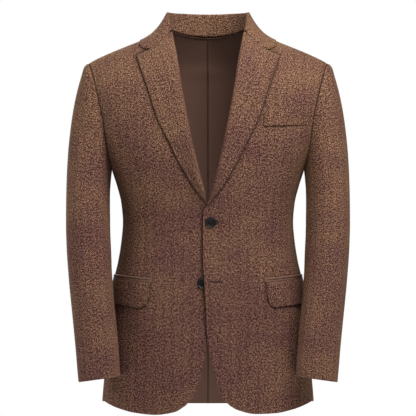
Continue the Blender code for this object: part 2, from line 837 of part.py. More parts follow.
def lapel_grid(lap):
    """The lapel's outer points: rows from the gorge to its lower end, across the fold."""
    roll = [(ROLL_LINE.at("x", z), z) for z in np.linspace(GORGE_START_Z, LAPEL_ROLL_END_Z, 24)]
    roll = even_steps(roll, LAPEL_ROWS)
    edge = even_steps(LAPEL_EDGE, LAPEL_ROWS)
    gorge_drop = GORGE_AIR * np.array((-0.6, -0.8))
    rows = []
    for i in range(LAPEL_ROWS):
        start, end = roll[i], edge[i]
        below = roll[min(i + 1, LAPEL_ROWS - 1)] - roll[max(i - 1, 0)]
        out = np.array((-below[1], below[0]))
        out *= math.copysign(1, out[0]) / np.linalg.norm(out)
        width = float(np.linalg.norm(end - start))
        way = (end - start) / width
        shrink = min(1.0, width / LAPEL_FULL_WIDTH)
        row = []
        for reach, lift in LAPEL_FOLD:
            direction = out if reach < 0 else way
            scale = 1.0 if reach < 0 else shrink
            row.append((start + direction * reach * scale, lift))
        turned = LAPEL_FOLD[-1][0] * shrink
        for share, lift in LAPEL_REACH:
            row.append((start + way * (turned + (width - turned) * share), lift))
        if i == 0:
            bend = np.array(NOTCH)
            straight = start + way * np.dot(bend - start, way)
            for j, (place, lift) in enumerate(row):
                along = float(np.dot(place - start, way))
                peak = float(np.dot(bend - start, way))
                share = along / peak if along < peak else (width - along) / (width - peak)
                place = place + (bend - straight) * max(share, 0.0) + gorge_drop
                row[j] = (place, lift)
        rows.append([place_on_body(*place, lift, True, lap) for place, lift in row])
    return np.array(rows)


def make_lapels():
    for name, side, lap in (("lapel_left", LEFT, 1.0), ("lapel_right", RIGHT, -1.0)):
        outer = lapel_grid(lap)
        normals = grid_normals(outer)
        if normals[5, -2, 1] > 0:
            normals = -normals
        inner = outer - WALL * normals
        if side == RIGHT:
            outer, inner = mirrored(outer), mirrored(inner)
        cloth(name, outer, inner)


def collar_section(station, notch_share):
    """Middle line of the folded collar cloth at one place: up the stand, over, and down the fall."""
    neck_x, neck_z, edge_x, edge_z, on_front, rise, tilt = station
    neck, edge = np.array((neck_x, neck_z)), np.array((edge_x, edge_z))
    bend = np.array(NOTCH) - (neck + (edge - neck) * COLLAR_NOTCH_SHARE)
    base = place_on_body(neck_x, neck_z, 0.0, on_front)
    normal = steady_normal(body_angle(neck_x, neck_z, on_front), neck_z)
    lift_way = np.array((0, 0, 1.0)) * (1 - tilt) + normal * tilt
    lift_way /= np.linalg.norm(lift_way)
    out_way = place_on_body(edge_x, edge_z, 0.0, on_front) - base
    out_way -= lift_way * np.dot(out_way, lift_way)
    out_way /= np.linalg.norm(out_way)
    fold = base + lift_way * rise
    r = COLLAR_FOLD_RADIUS
    stand = base - out_way * COLLAR_STAND_IN
    low = REST + COLLAR_STAND_START * (1 - tilt)
    line = [stand + lift_way * (low + (rise - r - low) * share) for share in (0.0, 0.5, 1.0)]
    fold_middle = fold + out_way * (r - COLLAR_STAND_IN) - lift_way * r
    for turn in (135, 90, 45):
        a = math.radians(turn)
        line.append(fold_middle + out_way * r * math.cos(a) + lift_way * r * math.sin(a))
    for share in COLLAR_FALL_SHARES[1:]:
        kink = share / COLLAR_NOTCH_SHARE
        if share > COLLAR_NOTCH_SHARE:
            kink = (1 - share) / (1 - COLLAR_NOTCH_SHARE)
        place = neck + (edge - neck) * share + bend * kink * notch_share
        fade = (1 - share) ** COLLAR_FALL_CURVE
        point = place_on_body(*place, COLLAR_EDGE_LIFT * (1 - fade), on_front)
        line.append(point + (lift_way * (rise - r) + out_way * (2 * r - COLLAR_STAND_IN)) * fade)
    return line


def make_collar():
    half = []
    last = len(COLLAR_STATIONS) - 1
    for i, station in enumerate(COLLAR_STATIONS):
        notch_share = max(0.0, 1 - (last - i) / 3.0)
        half.append(collar_section(station, notch_share))
    half = np.array(half)
    grid = np.concatenate([mirrored(half[:0:-1]), half])
    normals = grid_normals(grid)
    if normals[len(normals) // 2, -1, 1] < 0:
        normals = -normals
    cloth("collar", grid + normals * WALL / 2, grid - normals * WALL / 2)


# ---------------------------------------------------------------- pockets and buttons


def band_on_body(top, bottom, start_x, end_angle, columns, rows, corner=None):
    """(angle, z) grid of a band between two lines in the front view, run on round the side."""
    top_curve, bottom_curve = Profile(("x", "z"), top), Profile(("x", "z"), bottom)
    start_angle = body_angle(start_x, top[0][1])
    places = np.zeros((rows, columns, 2))
    steps = np.linspace(0, 1, columns) ** (FLAP_CROWDING if corner else 1.0)
    for j, angle in enumerate(start_angle + (end_angle - start_angle) * steps):
        x = min(body_point(min(angle, 89.0), top[0][1])[0], top[-1][0])
        z_top, z_bottom = top_curve.at("z", x), bottom_curve.at("z", x)
        if corner:
            along, up = corner
            left = max(0.0, 1 - (x - start_x) / along)
            z_bottom += up * (1 - math.sqrt(1 - min(left, 1.0) ** 2))
        for i, share in enumerate(np.linspace(0, 1, rows)):
            places[i, j] = angle, z_top + (z_bottom - z_top) * share
    return places


def lie_on_body(name, side, places, wall, lifts, lap):
    """A piece of cloth on a panel; lifts gives the air under its first and last row."""
    rows, columns = places.shape[:2]
    outer, inner = np.zeros((rows, columns, 3)), np.zeros((rows, columns, 3))
    for i in range(rows):
        air = lifts[0] + (lifts[1] - lifts[0]) * i / (rows - 1)
        for j in range(columns):
            angle, z = places[i, j]
            normal = steady_normal(angle, z, lap)
            inner[i, j] = body_point(angle, z, lap) + normal * air
            outer[i, j] = inner[i, j] + normal * wall
    if side == RIGHT:
        outer, inner = mirrored(outer), mirrored(inner)
    cloth(name, outer, inner)


def make_pockets():
    for name, side, lap in (("left", LEFT, 1.0), ("right", RIGHT, -1.0)):
        jet_bottom = [(x, z + SEAM) for x, z in FLAP_TOP]
        jet = band_on_body(JET_TOP, jet_bottom, FLAP_FRONT_X - 2.5, FLAP_END_ANGLE, 12, 2)
        lie_on_body(f"jet_{name}", side, jet, JET_WALL, (REST, REST), lap)
        flap = band_on_body(FLAP_TOP, FLAP_BOTTOM, FLAP_FRONT_X, FLAP_END_ANGLE, 18, 5, FLAP_CORNER)
        lie_on_body(f"flap_{name}", side, flap, FLAP_WALL, (REST, 1.6), lap)
    columns = 8
    welt = np.zeros((3, columns, 2))
    for j, share in enumerate(np.linspace(0, 1, columns)):
        x = WELT_X[0] + (WELT_X[1] - WELT_X[0]) * share
        z_top = WELT_TOP_Z[0] + (WELT_TOP_Z[1] - WELT_TOP_Z[0]) * share
        z_bottom = WELT_BOTTOM_Z[0] + (WELT_BOTTOM_Z[1] - WELT_BOTTOM_Z[0]) * share
        for i, down in enumerate((0, 0.5, 1)):
            z = z_top + (z_bottom - z_top) * down
            welt[i, j] = body_angle(x, z), z
    lie_on_body("breast_welt", LEFT, welt, WELT_WALL, (REST, REST), 1.0)


def make_button(name, place, lap):
    """A turned disc with a raised rim, on a panel and facing out from it."""
    x, z = place
    side = 1 if lap > 0 else -1
    angle = body_angle(side * x, z)
    centre = body_point(angle, z, lap)
    normal = body_normal(angle, z, lap)
    centre, normal = centre * (side, 1, 1), normal * (side, 1, 1)
    radius, thick = BUTTON_DIAMETER / 2, BUTTON_THICKNESS
    # height above the cloth and radius, from the middle of the back to the middle of the face
    turned = [
        (0.0, 0.0),
        (0.0, radius * 0.80),
        (0.5, radius * 0.96),
        (1.4, radius),
        (thick - 0.5, radius * 0.985),
        (thick, radius * 0.90),
        (thick, radius * 0.80),
        (thick - 0.9, radius * 0.66),
        (thick - 1.1, 0.0),
    ]
    across = np.cross(normal, (0, 0, 1.0))
    across /= np.linalg.norm(across)
    up = np.cross(across, normal)
    around = 28
    points, faces = [], []
    for height, r in turned:
        middle = centre + normal * (REST + height)
        if r == 0:
            points.append(middle)
            continue
        for k in range(around):
            a = 2 * math.pi * k / around
            points.append(middle + across * r * math.cos(a) + up * r * math.sin(a))
    rings = len(turned) - 2
    for k in range(around):
        k2 = (k + 1) % around
        faces.append((0, 1 + k, 1 + k2))
        for ring in range(rings - 1):
            low, high = 1 + ring * around, 1 + (ring + 1) * around
            faces.append((low + k, low + k2, high + k2, high + k))
        low = 1 + (rings - 1) * around
        faces.append((low + k, low + k2, len(points) - 1))
    add_object(name, points, faces, BUTTON_COLOUR, 0.35)


def main():
    for obj in list(bpy.data.objects):
        bpy.data.objects.remove(obj)
    make_body()
    make_sleeves()
    make_lapels()
    make_collar()
    make_pockets()
    make_button("button_upper", BUTTON_UPPER, 1.0)
    make_button("button_lower", BUTTON_LOWER, -1.0)


main()
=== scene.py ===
"""Looks of a two-button herringbone jacket in the form that it has when it is worn.

Every cloth piece is a fine sheet on the same surface as its CAD solid, with its pressed edges,
seams and creases, and carries a UV map in the cloth's own measure, so that the weave runs along
the piece. Sizes are in millimetres and become metres when a mesh is made. "Left" and "right" are
the wearer's: left is +X, and the front faces -Y.
"""

import logging
import math
from dataclasses import dataclass
from enum import Enum
from typing import Any, Sequence

import bpy
import numpy as np
from mathutils import Matrix, Vector


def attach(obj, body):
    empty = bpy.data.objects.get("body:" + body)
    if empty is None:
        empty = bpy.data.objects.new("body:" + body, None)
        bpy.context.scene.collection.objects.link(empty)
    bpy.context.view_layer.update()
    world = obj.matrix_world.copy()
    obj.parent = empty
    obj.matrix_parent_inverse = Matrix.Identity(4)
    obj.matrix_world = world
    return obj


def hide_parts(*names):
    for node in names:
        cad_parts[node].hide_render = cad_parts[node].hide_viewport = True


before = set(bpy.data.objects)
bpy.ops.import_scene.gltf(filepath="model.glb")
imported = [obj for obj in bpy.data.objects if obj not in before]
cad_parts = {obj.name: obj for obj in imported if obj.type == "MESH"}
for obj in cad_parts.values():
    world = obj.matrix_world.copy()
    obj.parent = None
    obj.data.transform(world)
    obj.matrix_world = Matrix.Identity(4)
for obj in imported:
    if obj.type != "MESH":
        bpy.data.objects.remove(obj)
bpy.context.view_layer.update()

LOG = logging.getLogger("jacket")
MM = 0.001
BODY = "root"
CLOTH_MAP = "cloth"
UV_UNIT = 100.0  # millimetres of cloth in one unit of the UV map
FAR = 99.0  # a seam distance that means "no seam near"
PAINTED_SHADE_FADE = (0.3, 1.7)  # distances from a seam between which its shade fades out
WALL = 2.0
WITH_ALLOWANCES = 1.06  # a cut's area with its seam allowances, over that of the cloth that shows
LEAST_FILLED = 0.3  # the least share of its rectangle that a cut fills

Grid = np.ndarray


class Side(Enum):
    """The wearer's side on which a piece is."""

    LEFT = 1
    RIGHT = -1

    @property
    def word(self) -> str:
        """The side's name in a piece's name."""
        return self.name.lower()


class Held(Enum):
    """How a sheet of cloth is held."""

    DRAPED = "draped"
    LAID = "laid"
    FOLDED = "folded"


class Edge(Enum):
    """What happens along one side of a sheet."""

    SEWN = "sewn"
    BUTTED = "butted"
    FREE = "free"
    TUCKED = "tucked"


# ---------------------------------------------------------------- curves and forms


class Curve:
    """A smooth curve through the rows of a table; the first column is the key."""

    def __init__(self, names: Sequence[str], rows: Sequence[Sequence[float]]) -> None:
        """Read the table.

        Args:
            names: the columns' names, the key's first.
            rows: the table's rows, in any order.
        """
        table = np.array(sorted(rows), float)
        self.keys = table[:, 0]
        self.values = {name: table[:, i] for i, name in enumerate(names)}
        self.slopes = {name: self._even_slopes(column) for name, column in self.values.items()}

    def _even_slopes(self, values: Grid) -> Grid:
        """Slopes that never overshoot a row."""
        steps = np.diff(values) / np.diff(self.keys)
        before, after = steps[:-1], steps[1:]
        product = before * after
        total = np.where(product > 0, before + after, 1.0)
        inner = np.where(product > 0, 2 * product / total, 0.0)
        return np.concatenate([steps[:1], inner, steps[-1:]])

    def __call__(self, name: str, key: Any) -> Grid:
        """Values of a column.

        Args:
            name: the column.
            key: one key or an array of them.

        Returns:
            The column's values there.
        """
        key = np.clip(np.asarray(key, float), self.keys[0], self.keys[-1])
        i = np.clip(np.searchsorted(self.keys, key) - 1, 0, len(self.keys) - 2)
        values, slopes = self.values[name], self.slopes[name]
        span = self.keys[i + 1] - self.keys[i]
        t = (key - self.keys[i]) / span
        return (
            (1 + 2 * t) * (1 - t) ** 2 * values[i]
            + t * (1 - t) ** 2 * span * slopes[i]
            + t * t * (3 - 2 * t) * values[i + 1]
            + t * t * (t - 1) * span * slopes[i + 1]
        )


def square_sine(angle: Any, squareness: float) -> Grid:
    """Sideways share of a squarish cross-section at an angle in degrees."""
    a = np.radians(angle)
    return np.sin(a) * (1 + squareness * np.cos(a) ** 2)


def square_cosine(angle: Any, squareness: float) -> Grid:
    """Forward share of a squarish cross-section at an angle in degrees."""
    a = np.radians(angle)
    return np.cos(a) * (1 + squareness * np.sin(a) ** 2)


def unit(vectors: Grid) -> Grid:
    """The same vectors at length one."""
    return vectors / np.maximum(np.linalg.norm(vectors, axis=-1, keepdims=True), 1e-12)


def smooth_step(value: Any) -> Grid:
    """0 below 0, 1 above 1, and a soft curve between."""
    t = np.clip(value, 0.0, 1.0)
    return t * t * (3 - 2 * t)


DEPTH = Curve(
    ("z", "front", "back"),
    [
        (60, 44, 52),
        (20, 66, 68),
        (-20, 84, 84),
        (-60, 98, 99),
        (-110, 113, 112),
        (-160, 123, 120),
        (-210, 128, 123),
        (-260, 128, 121),
        (-310, 123, 113),
        (-355, 118, 105),
        (-400, 117, 103),
        (-450, 119, 109),
        (-510, 122, 117),
        (-570, 125, 122),
        (-640, 127, 125),
        (-740, 129, 128),
    ],
)
WIDTH = Curve(
    ("z", "half"),
    [
        (-256, 186.8),
        (-286, 177),
        (-319, 169),
        (-355, 166),
        (-392, 169),
        (-435, 176),
        (-461, 182),
        (-520, 188),
        (-600, 196.5),
        (-675, 204),
        (-740, 209),
    ],
)
ARMHOLE = Curve(
    ("z", "x"),
    [
        (-45, 231.4),
        (-81, 221),
        (-113, 213.5),
        (-151, 205.5),
        (-201, 198.5),
        (-225, 194.5),
        (-245, 189.5),
        (-256, 186.8),
    ],
)
SHOULDER = Curve(
    ("x", "z"),
    [
        (0, 54),
        (40, 39),
        (77.5, 22.4),
        (131, -1),
        (163, -13.8),
        (192.5, -26),
        (214.5, -36),
        (231.4, -45),
        (262, -62),
    ],
)
# x, z, half_length, half_width, slope (rise over run), height
FRONT_CREASES = [
    (84, -388, 48, 16, -0.42, -1.6),
    (-84, -388, 48, 16, 0.40, -1.6),
    (84, -318, 44, 16, 0.34, 1.4),
    (-84, -320, 44, 16, -0.34, 1.4),
    (150, -232, 40, 11, 1.2, -1.8),
    (-150, -232, 40, 11, -1.2, -1.8),
    (70, -585, 90, 26, 3.5, 1.8),
    (-85, -590, 90, 26, -3.5, 1.8),
    (46, -366, 26, 6, -0.15, -0.8),
    (-44, -349, 24, 6, 0.22, -0.8),
    (52, -341, 30, 7, 0.35, -0.6),
    (-52, -383, 30, 7, 0.5, -0.7),
    (120, -300, 40, 14, 0.1, 0.9),
    (-120, -296, 44, 14, -0.15, 0.9),
    (160, -560, 60, 15, 5.0, -1.2),
    (-160, -566, 64, 15, -5.0, -1.2),
    (176, -200, 34, 8, 2.2, -1.1),
    (-176, -196, 34, 8, -2.2, -1.1),
]
BACK_CREASES = [
    (60, -350, 60, 14, 0.12, -1.8),
    (-64, -358, 58, 13, -0.10, -1.7),
    (40, -322, 46, 11, 0.20, 1.2),
    (-40, -326, 44, 11, -0.22, 1.2),
    (150, -190, 52, 13, 2.6, -2.2),
    (-150, -186, 54, 13, -2.6, -2.2),
    (118, -120, 60, 18, 1.6, 1.4),
    (-118, -124, 60, 18, -1.6, 1.4),
    (30, -560, 110, 26, 7.0, 1.8),
    (-34, -570, 110, 26, -7.0, 1.8),
    (0, -60, 60, 12, 0.0, -1.2),
]


def crease_height(x: Grid, z: Grid, creases: Sequence[Sequence[float]]) -> Grid:
    """Sum of soft ridges and troughs.

    Args:
        x: sideways places.
        z: heights.
        creases: rows of x, z, half_length, half_width, slope and height.

    Returns:
        How far the cloth stands out at each place.
    """
    total = np.zeros(np.broadcast(x, z).shape)
    for at_x, at_z, half_length, half_width, slope, height in creases:
        run = math.hypot(1.0, slope)
        along = ((x - at_x) + (z - at_z) * slope) / run
        across = ((z - at_z) - (x - at_x) * slope) / run
        total = total + height * np.exp(-((along / half_length) ** 2) - (across / half_width) ** 2)
    return total


@dataclass
class BodyForm:
    """The surface that all body pieces lie on, given by an angle round it and a height."""

    squareness: float = 0.14
    armhole_top: float = -45.0
    armhole_bottom: float = -256.0
    armhole_depth_front: float = 68.0
    armhole_depth_back: float = 72.0
    side_front_seam: float = 78.0
    side_back_seam: float = 117.0
    lap_push: float = 2.3
    lap_near: float = 25.0
    lap_far: float = 60.0
    lap_start_z: float = -290.0
    lap_fade: float = 20.0
    lap_lift: float = 4.2
    lap_lift_z: float = -474.0

    def __post_init__(self) -> None:
        """Work out the half widths at all heights."""
        self.armhole_middle = (self.armhole_top + self.armhole_bottom) / 2
        self.armhole_half = (self.armhole_top - self.armhole_bottom) / 2
        self.quarter = np.linspace(0.0, 90.0, 721)
        self.quarter_sine = square_sine(self.quarter, self.squareness)
        self.quarter_cosine = square_cosine(self.quarter, self.squareness)
        self.heights = np.linspace(-745.0, 60.0, 1611)
        self.widths = {front: self._widths(front) for front in (True, False)}
        self.front_turn = self._seam_turn(self.side_front_seam, True)
        self.back_turn = 360 - self._seam_turn(180 - self.side_back_seam, False)

    def closing(self, x: Grid, z: Grid) -> Grid:
        """From 0 on the shoulder line to 1 where the body has its full depth."""
        share = np.clip((SHOULDER("z", np.abs(x)) - z) / self.armhole_half, 0.0, 1.0)
        return np.sqrt(1 - (1 - share) ** 2)

    def armhole_depth(self, z: Grid, front: Any) -> Grid:
        """Distance of the armhole seam from the shoulder line's plane."""
        share = (z - self.armhole_middle) / self.armhole_half
        depth = np.where(front, self.armhole_depth_front, self.armhole_depth_back)
        return depth * np.sqrt(np.clip(1 - share * share, 0.0, 1.0))

    def armhole_angle(self, z: Grid, front: bool) -> Grid:
        """Angle from the front or back middle at which the armhole lies."""
        z = np.minimum(z, self.armhole_top - 0.05)
        depth = DEPTH("front" if front else "back", z) * self.closing(ARMHOLE("x", z), z)
        return np.interp(-self.armhole_depth(z, front) / depth, -self.quarter_cosine, self.quarter)

    def _widths(self, front: bool) -> Grid:
        """Half widths at all heights, through the armhole where there is one."""
        z = np.minimum(self.heights, self.armhole_top - 0.05)
        share = np.interp(self.armhole_angle(z, front), self.quarter, self.quarter_sine)
        return np.where(z <= self.armhole_bottom, WIDTH("half", z), ARMHOLE("x", z) / share)

    def _seam_turn(self, seam: float, front: bool) -> float:
        """Turn round the armhole at which a side seam starts."""
        z = np.linspace(self.armhole_middle, self.armhole_bottom, 800)
        height = float(np.interp(seam, self.armhole_angle(z, front), z))
        return math.degrees(math.acos((height - self.armhole_middle) / self.armhole_half))

    def half_width(self, z: Grid, front: Any) -> Grid:
        """Half width of the full cross-section at a height."""
        return np.where(
            front,
            np.interp(z, self.heights, self.widths[True]),
            np.interp(z, self.heights, self.widths[False]),
        )

    def lap_offset(self, x: Grid, z: Grid, lap: float) -> Grid:
        """How far a front leaves the surface where the two fronts cross."""
        share = smooth_step((self.lap_far - np.abs(x)) / (self.lap_far - self.lap_near))
        fade = np.clip((self.lap_start_z - z) / self.lap_fade, 0, 1)
        lift = self.lap_lift * np.exp(-(((z - self.lap_lift_z) / 55) ** 2)) if lap > 0 else 0.0
        return (self.lap_push + lift) * share * fade

    def point(self, angle: Any, z: Any, lap: float = 0.0) -> Grid:
        """Points of the surface.

        Args:
            angle: degrees from the front middle, positive to the left.
            z: heights.
            lap: 1 on the over front, -1 on the under front, 0 elsewhere.

        Returns:
            An array of points, with x, y and z last.
        """
        angle, z = np.broadcast_arrays(np.asarray(angle, float), np.asarray(z, float))
        front = np.abs(angle) < 90
        x = self.half_width(z, front) * square_sine(angle, self.squareness)
        depth = np.where(front, DEPTH("front", z), DEPTH("back", z)) * self.closing(x, z)
        y = -depth * square_cosine(angle, self.squareness)
        ease = np.minimum(1.0, depth / 60)
        wear_x = x if lap >= 0 else -x
        y = y - np.where(front, crease_height(wear_x, z, FRONT_CREASES) * ease, 0.0)
        y = y + np.where(front, 0.0, crease_height(x, z, BACK_CREASES) * ease)
        y = y - np.where(front, lap * self.lap_offset(x, z, lap), 0.0)
        return np.stack([x, y, z], axis=-1)

    def normal(self, angle: Any, z: Any, lap: float = 0.0) -> Grid:
        """Outward directions of the surface, steady up to the shoulder line."""
        angle, z = np.broadcast_arrays(np.asarray(angle, float), np.asarray(z, float))
        x = self.point(angle, z, lap)[..., 0]
        below = SHOULDER("z", np.abs(x)) - z
        low = np.where(below < 6, z - 6, z)
        round_it = self.point(angle + 0.4, low, lap) - self.point(angle - 0.4, low, lap)
        up = self.point(angle, low + 1, lap) - self.point(angle, low - 1, lap)
        slope = (SHOULDER("z", np.abs(x) + 2) - SHOULDER("z", np.abs(x) - 2)) / 4
        ridge = unit(np.stack([-np.sign(x) * slope, np.zeros_like(x), np.ones_like(x)], axis=-1))
        share = np.clip(below / 6, 0, 1)[..., None]
        return unit(ridge * (1 - share) + unit(np.cross(round_it, up)) * share)

    def angle(self, x: Any, z: Any, front: bool = True) -> Grid:
        """Angle at which the surface has this x at this height."""
        share = np.clip(np.abs(x) / self.half_width(z, front), 0, 1)
        angle = np.interp(share, self.quarter_sine, self.quarter)
        return np.copysign(angle if front else 180 - angle, x)

    def place(self, x: Any, z: Any, lift: Any, front: bool = True, lap: float = 0.0) -> Grid:
        """Points at a distance out from the surface, by their place in the front or back view."""
        angle = self.angle(x, z, front)
        lift = np.asarray(lift, float)[..., None]
        return self.point(angle, z, lap) + lift * self.normal(angle, z, lap)

    def seen(self, x: Any, z: Any, lift: Any, lap: float = 0.0) -> Grid:
        """Points at a distance out from the front that are themselves at this x and z."""
        at_x, at_z = np.asarray(x, float), np.asarray(z, float)
        for _ in range(3):
            points = self.place(at_x, at_z, lift, True, lap)
            at_x, at_z = at_x + x - points[..., 0], at_z + z - points[..., 2]
        return self.place(at_x, at_z, lift, True, lap)

    def girth(self, angle: Grid, z: Grid, start: float) -> Grid:
        """Length round the body from a starting angle, measured along the cloth."""
        share = np.linspace(0, 1, 25)
        sweep = start + (angle[..., None] - start) * share
        front = np.abs(sweep) < 90
        level = np.broadcast_to(z[..., None], sweep.shape)
        x = self.half_width(level, front) * square_sine(sweep, self.squareness)
        y = np.where(front, DEPTH("front", level), DEPTH("back", level))
        y = y * square_cosine(sweep, self.squareness)
        run = np.hypot(np.diff(x, axis=-1), np.diff(y, axis=-1)).sum(axis=-1)
        return run * np.sign(angle - start)

    def armhole_place(self, turn: Grid) -> Grid:
        """(angle, z) of the armhole seam at turns in degrees from the shoulder tip."""
        z = self.armhole_middle + self.armhole_half * np.cos(np.radians(turn))
        angle = np.where(
            turn <= 180, self.armhole_angle(z, True), 180 - self.armhole_angle(z, False)
        )
        return np.stack([angle, z], axis=-1)

    def armhole_point(self, turn: Grid) -> Grid:
        """Points of the armhole seam."""
        z = self.armhole_middle + self.armhole_half * np.cos(np.radians(turn))
        front = turn <= 180
        y = self.armhole_depth(z, front) * np.where(front, -1, 1)
        return np.stack([ARMHOLE("x", z), y, z], axis=-1)


# ---------------------------------------------------------------- sheets of cloth


def spread(length: float, step: float, fine_start: bool = True, fine_end: bool = True) -> Grid:
    """Shares of a length at even steps, closer together at the ends that are shaped there.

    Args:
        length: the length in millimetres.
        step: the usual distance between two places.
        fine_start: whether the start is shaped.
        fine_end: whether the end is shaped.

    Returns:
        Rising shares from 0 to 1.
    """
    fine = np.array([0.0, 0.6, 1.4, 2.6, 4.5]) / length
    first = fine[-1] if fine_start else 0.0
    last = 1 - (fine[-1] if fine_end else 0.0)
    parts = [fine[:-1]] if fine_start else []
    parts.append(np.linspace(first, last, max(3, round(length / step))))
    if fine_end:
        parts.append(1 - fine[-2::-1])
    return np.concatenate(parts)


def run_along(points: Grid, axis: int) -> Grid:
    """Distance of each point of a grid from the grid's first row or column."""
    steps = np.linalg.norm(np.diff(points, axis=axis), axis=-1)
    start = np.zeros_like(np.take(steps, [0], axis=axis))
    return np.concatenate([start, np.cumsum(steps, axis=axis)], axis=axis)


def fill(top: Grid, bottom: Grid, first: Grid, last: Grid, s: Grid, t: Grid) -> Grid:
    """Fill four boundary lines with a grid.

    Args:
        top: the first row, one value for each s.
        bottom: the last row.
        first: the first column, one value for each t.
        last: the last column.
        s: shares across.
        t: shares down.

    Returns:
        The grid, with its rows down and its columns across.
    """
    s, t = s[None, :, None], t[:, None, None]
    sides = (1 - s) * first[:, None] + s * last[:, None]
    ends = (1 - t) * top[None] + t * bottom[None]
    upper = (1 - s) * top[0] + s * top[-1]
    lower = (1 - s) * bottom[0] + s * bottom[-1]
    return sides + ends - ((1 - t) * upper + t * lower)


def beside(x: Grid, z: Grid, line: Grid) -> Grid:
    """Distance in the front view of each place from a line of x and z.

    Args:
        x: sideways places.
        z: heights.
        line: the line's points.

    Returns:
        The distances.
    """
    place = np.stack([x, z], axis=-1)
    nearest = np.full(x.shape, FAR)
    for start, end in zip(line[:-1], line[1:]):
        way = end - start
        share = np.clip((place - start) @ way / float(way @ way), 0, 1)
        off = place - start - share[..., None] * way
        nearest = np.minimum(nearest, np.hypot(off[..., 0], off[..., 1]))
    return nearest


def finer(grid: Grid, rows: int, columns: int) -> Grid:
    """A smooth, closer grid through the points of a coarse one."""
    for axis, count in ((0, rows), (1, columns)):
        lead = np.moveaxis(grid, axis, 0)
        lead = np.concatenate([2 * lead[:1] - lead[1:2], lead, 2 * lead[-1:] - lead[-2:-1]])
        places = np.linspace(0, len(lead) - 3, count)
        i = np.minimum(places.astype(int), len(lead) - 4)
        t = (places - i).reshape((-1,) + (1,) * (lead.ndim - 1))
        a, b, c, d = lead[i], lead[i + 1], lead[i + 2], lead[i + 3]
        lead = 0.5 * (
            2 * b + (c - a) * t + (2 * a - 5 * b + 4 * c - d) * t**2 + (3 * b - a - 3 * c + d) * t**3
        )
        grid = np.moveaxis(lead, 0, axis)
    return grid


@dataclass
class Patch:
    """A grid of cloth points in millimetres, with its place on the cut, its sewn lines and the lines along
    which shade is painted.
    """

    points: Grid
    cloth: Grid
    outward: Grid
    # distance from the nearest sewn line, lowered where shade is painted; the cloth's colour darkens by it
    seam: Grid

    @classmethod
    def pressed(
        cls,
        points: Grid,
        cloth: Grid,
        outward: Grid,
        edges: dict[str, Edge],
        depth: float = 0.9,
        pull: dict[str, Grid] | None = None,
        unshaded: Grid | None = None,
    ) -> "Patch":
        """Make a patch whose sides are pressed as sewn or free cloth is.

        Args:
            points: the cloth's outer points.
            cloth: each point's place on the cut.
            outward: the outward directions.
            edges: what happens at "top", "bottom", "first" and "last"; a side left out is free.
            depth: how far a sewn edge is pulled in.
            pull: for a sewn side, which way it is pulled, if not straight in.
            unshaded: where a sewn side gets no painted seam shade.

        Returns:
            The patch.
        """
        down, across = run_along(points, 0), run_along(points, 1)
        away = {
            "top": down,
            "bottom": down[-1:] - down,
            "first": across,
            "last": across[:, -1:] - across,
        }
        seam = np.full(points.shape[:2], FAR)
        drop = np.zeros(points.shape[:2])
        way = -outward
        pulled = {}
        for side, distance in away.items():
            edge = edges.get(side, Edge.FREE)
            if edge is Edge.TUCKED:
                continue
            if edge in (Edge.SEWN, Edge.BUTTED):
                # A sewn or butted side gets painted shade: its distance goes into seam, which darkens the
                # colour near it.
                seam = np.minimum(seam, distance)
                press = depth * np.exp(-((distance / 1.9) ** 2))
            else:
                press = 0.45 * np.exp(-((distance / 1.1) ** 2))
            lead = -outward
            if pull and side in pull:
                lead = np.broadcast_to(pull[side], outward.shape)
            if edge in (Edge.SEWN, Edge.BUTTED):
                pulled[side] = lead
            way = np.where((press > drop)[..., None], lead, way)
            drop = np.maximum(drop, press)
        if unshaded is not None:
            seam = np.where(unshaded, FAR, seam)
        made = cls(points + way * drop[..., None], cloth, outward, seam)
        for side, lead in pulled.items():
            axis, place = cls.end(side)
            line = np.take(lead, [place], axis=axis)
            if axis == 1:
                line = np.pad(line, (("top" in pulled, "bottom" in pulled), (0, 0), (0, 0)), "edge")
            made.turn_in(side, line, 2.0 if edges[side] is Edge.SEWN else 0.05)
        return made

    @staticmethod
    def end(side: str) -> tuple[int, int]:
        """The axis that leads to a side, and the place of that side's line on it."""
        return (0 if side in ("top", "bottom") else 1), (-1 if side in ("bottom", "last") else 0)

    def turn_in(self, side: str, lead: Grid, depth: float = 2.0, past: float = 0.2) -> None:
        """Turn the cloth in along a sewn side, as its seam allowance is.

        Args:
            side: the side.
            lead: which way it turns.
            depth: how far down the turned cloth goes.
            past: how far it goes past the seam line, to meet its neighbour.
        """
        axis, place = self.end(side)
        inside = -2 if place else 1
        line = np.take(self.points, [place], axis=axis)
        away = unit(line - np.take(self.points, [inside], axis=axis)) * past
        turned = {
            "points": line + away + lead * depth,
            "cloth": np.take(self.cloth, [place], axis=axis),
            "outward": np.take(self.outward, [place], axis=axis),
            "seam": np.take(self.seam, [place], axis=axis),
        }
        for name, extra in turned.items():
            parts = [getattr(self, name), extra] if place else [extra, getattr(self, name)]
            setattr(self, name, np.concatenate(parts, axis=axis))

    def groove(self, distance: Grid, depth: float, width: float) -> None:
        """Sew a line into the cloth and paint shade along it, given each point's distance from it."""
        self.seam = np.minimum(self.seam, distance + 0.6)
        pull = depth * np.exp(-((distance / width) ** 2))
        self.points = self.points - self.outward * pull[..., None]

    def shade(self, distance: Grid, width: float, strength: float) -> None:
        """Paint shade softly into the cloth's colour up to a width from a line, as a painted shadow under an
        edge that lies on it.
        """
        near = np.clip(1 - distance / width, 0, 1)
        self.seam = np.minimum(self.seam, PAINTED_SHADE_FADE[1] - (PAINTED_SHADE_FADE[1] - PAINTED_SHADE_FADE[0]) * strength * near)

    def mirrored(self) -> "Patch":
        """The same patch on the wearer's right."""
        flip = np.array((-1.0, 1.0, 1.0))
        turn = np.array((-1.0, 1.0))
        return Patch(self.points * flip, self.cloth * turn, self.outward * flip, self.seam)


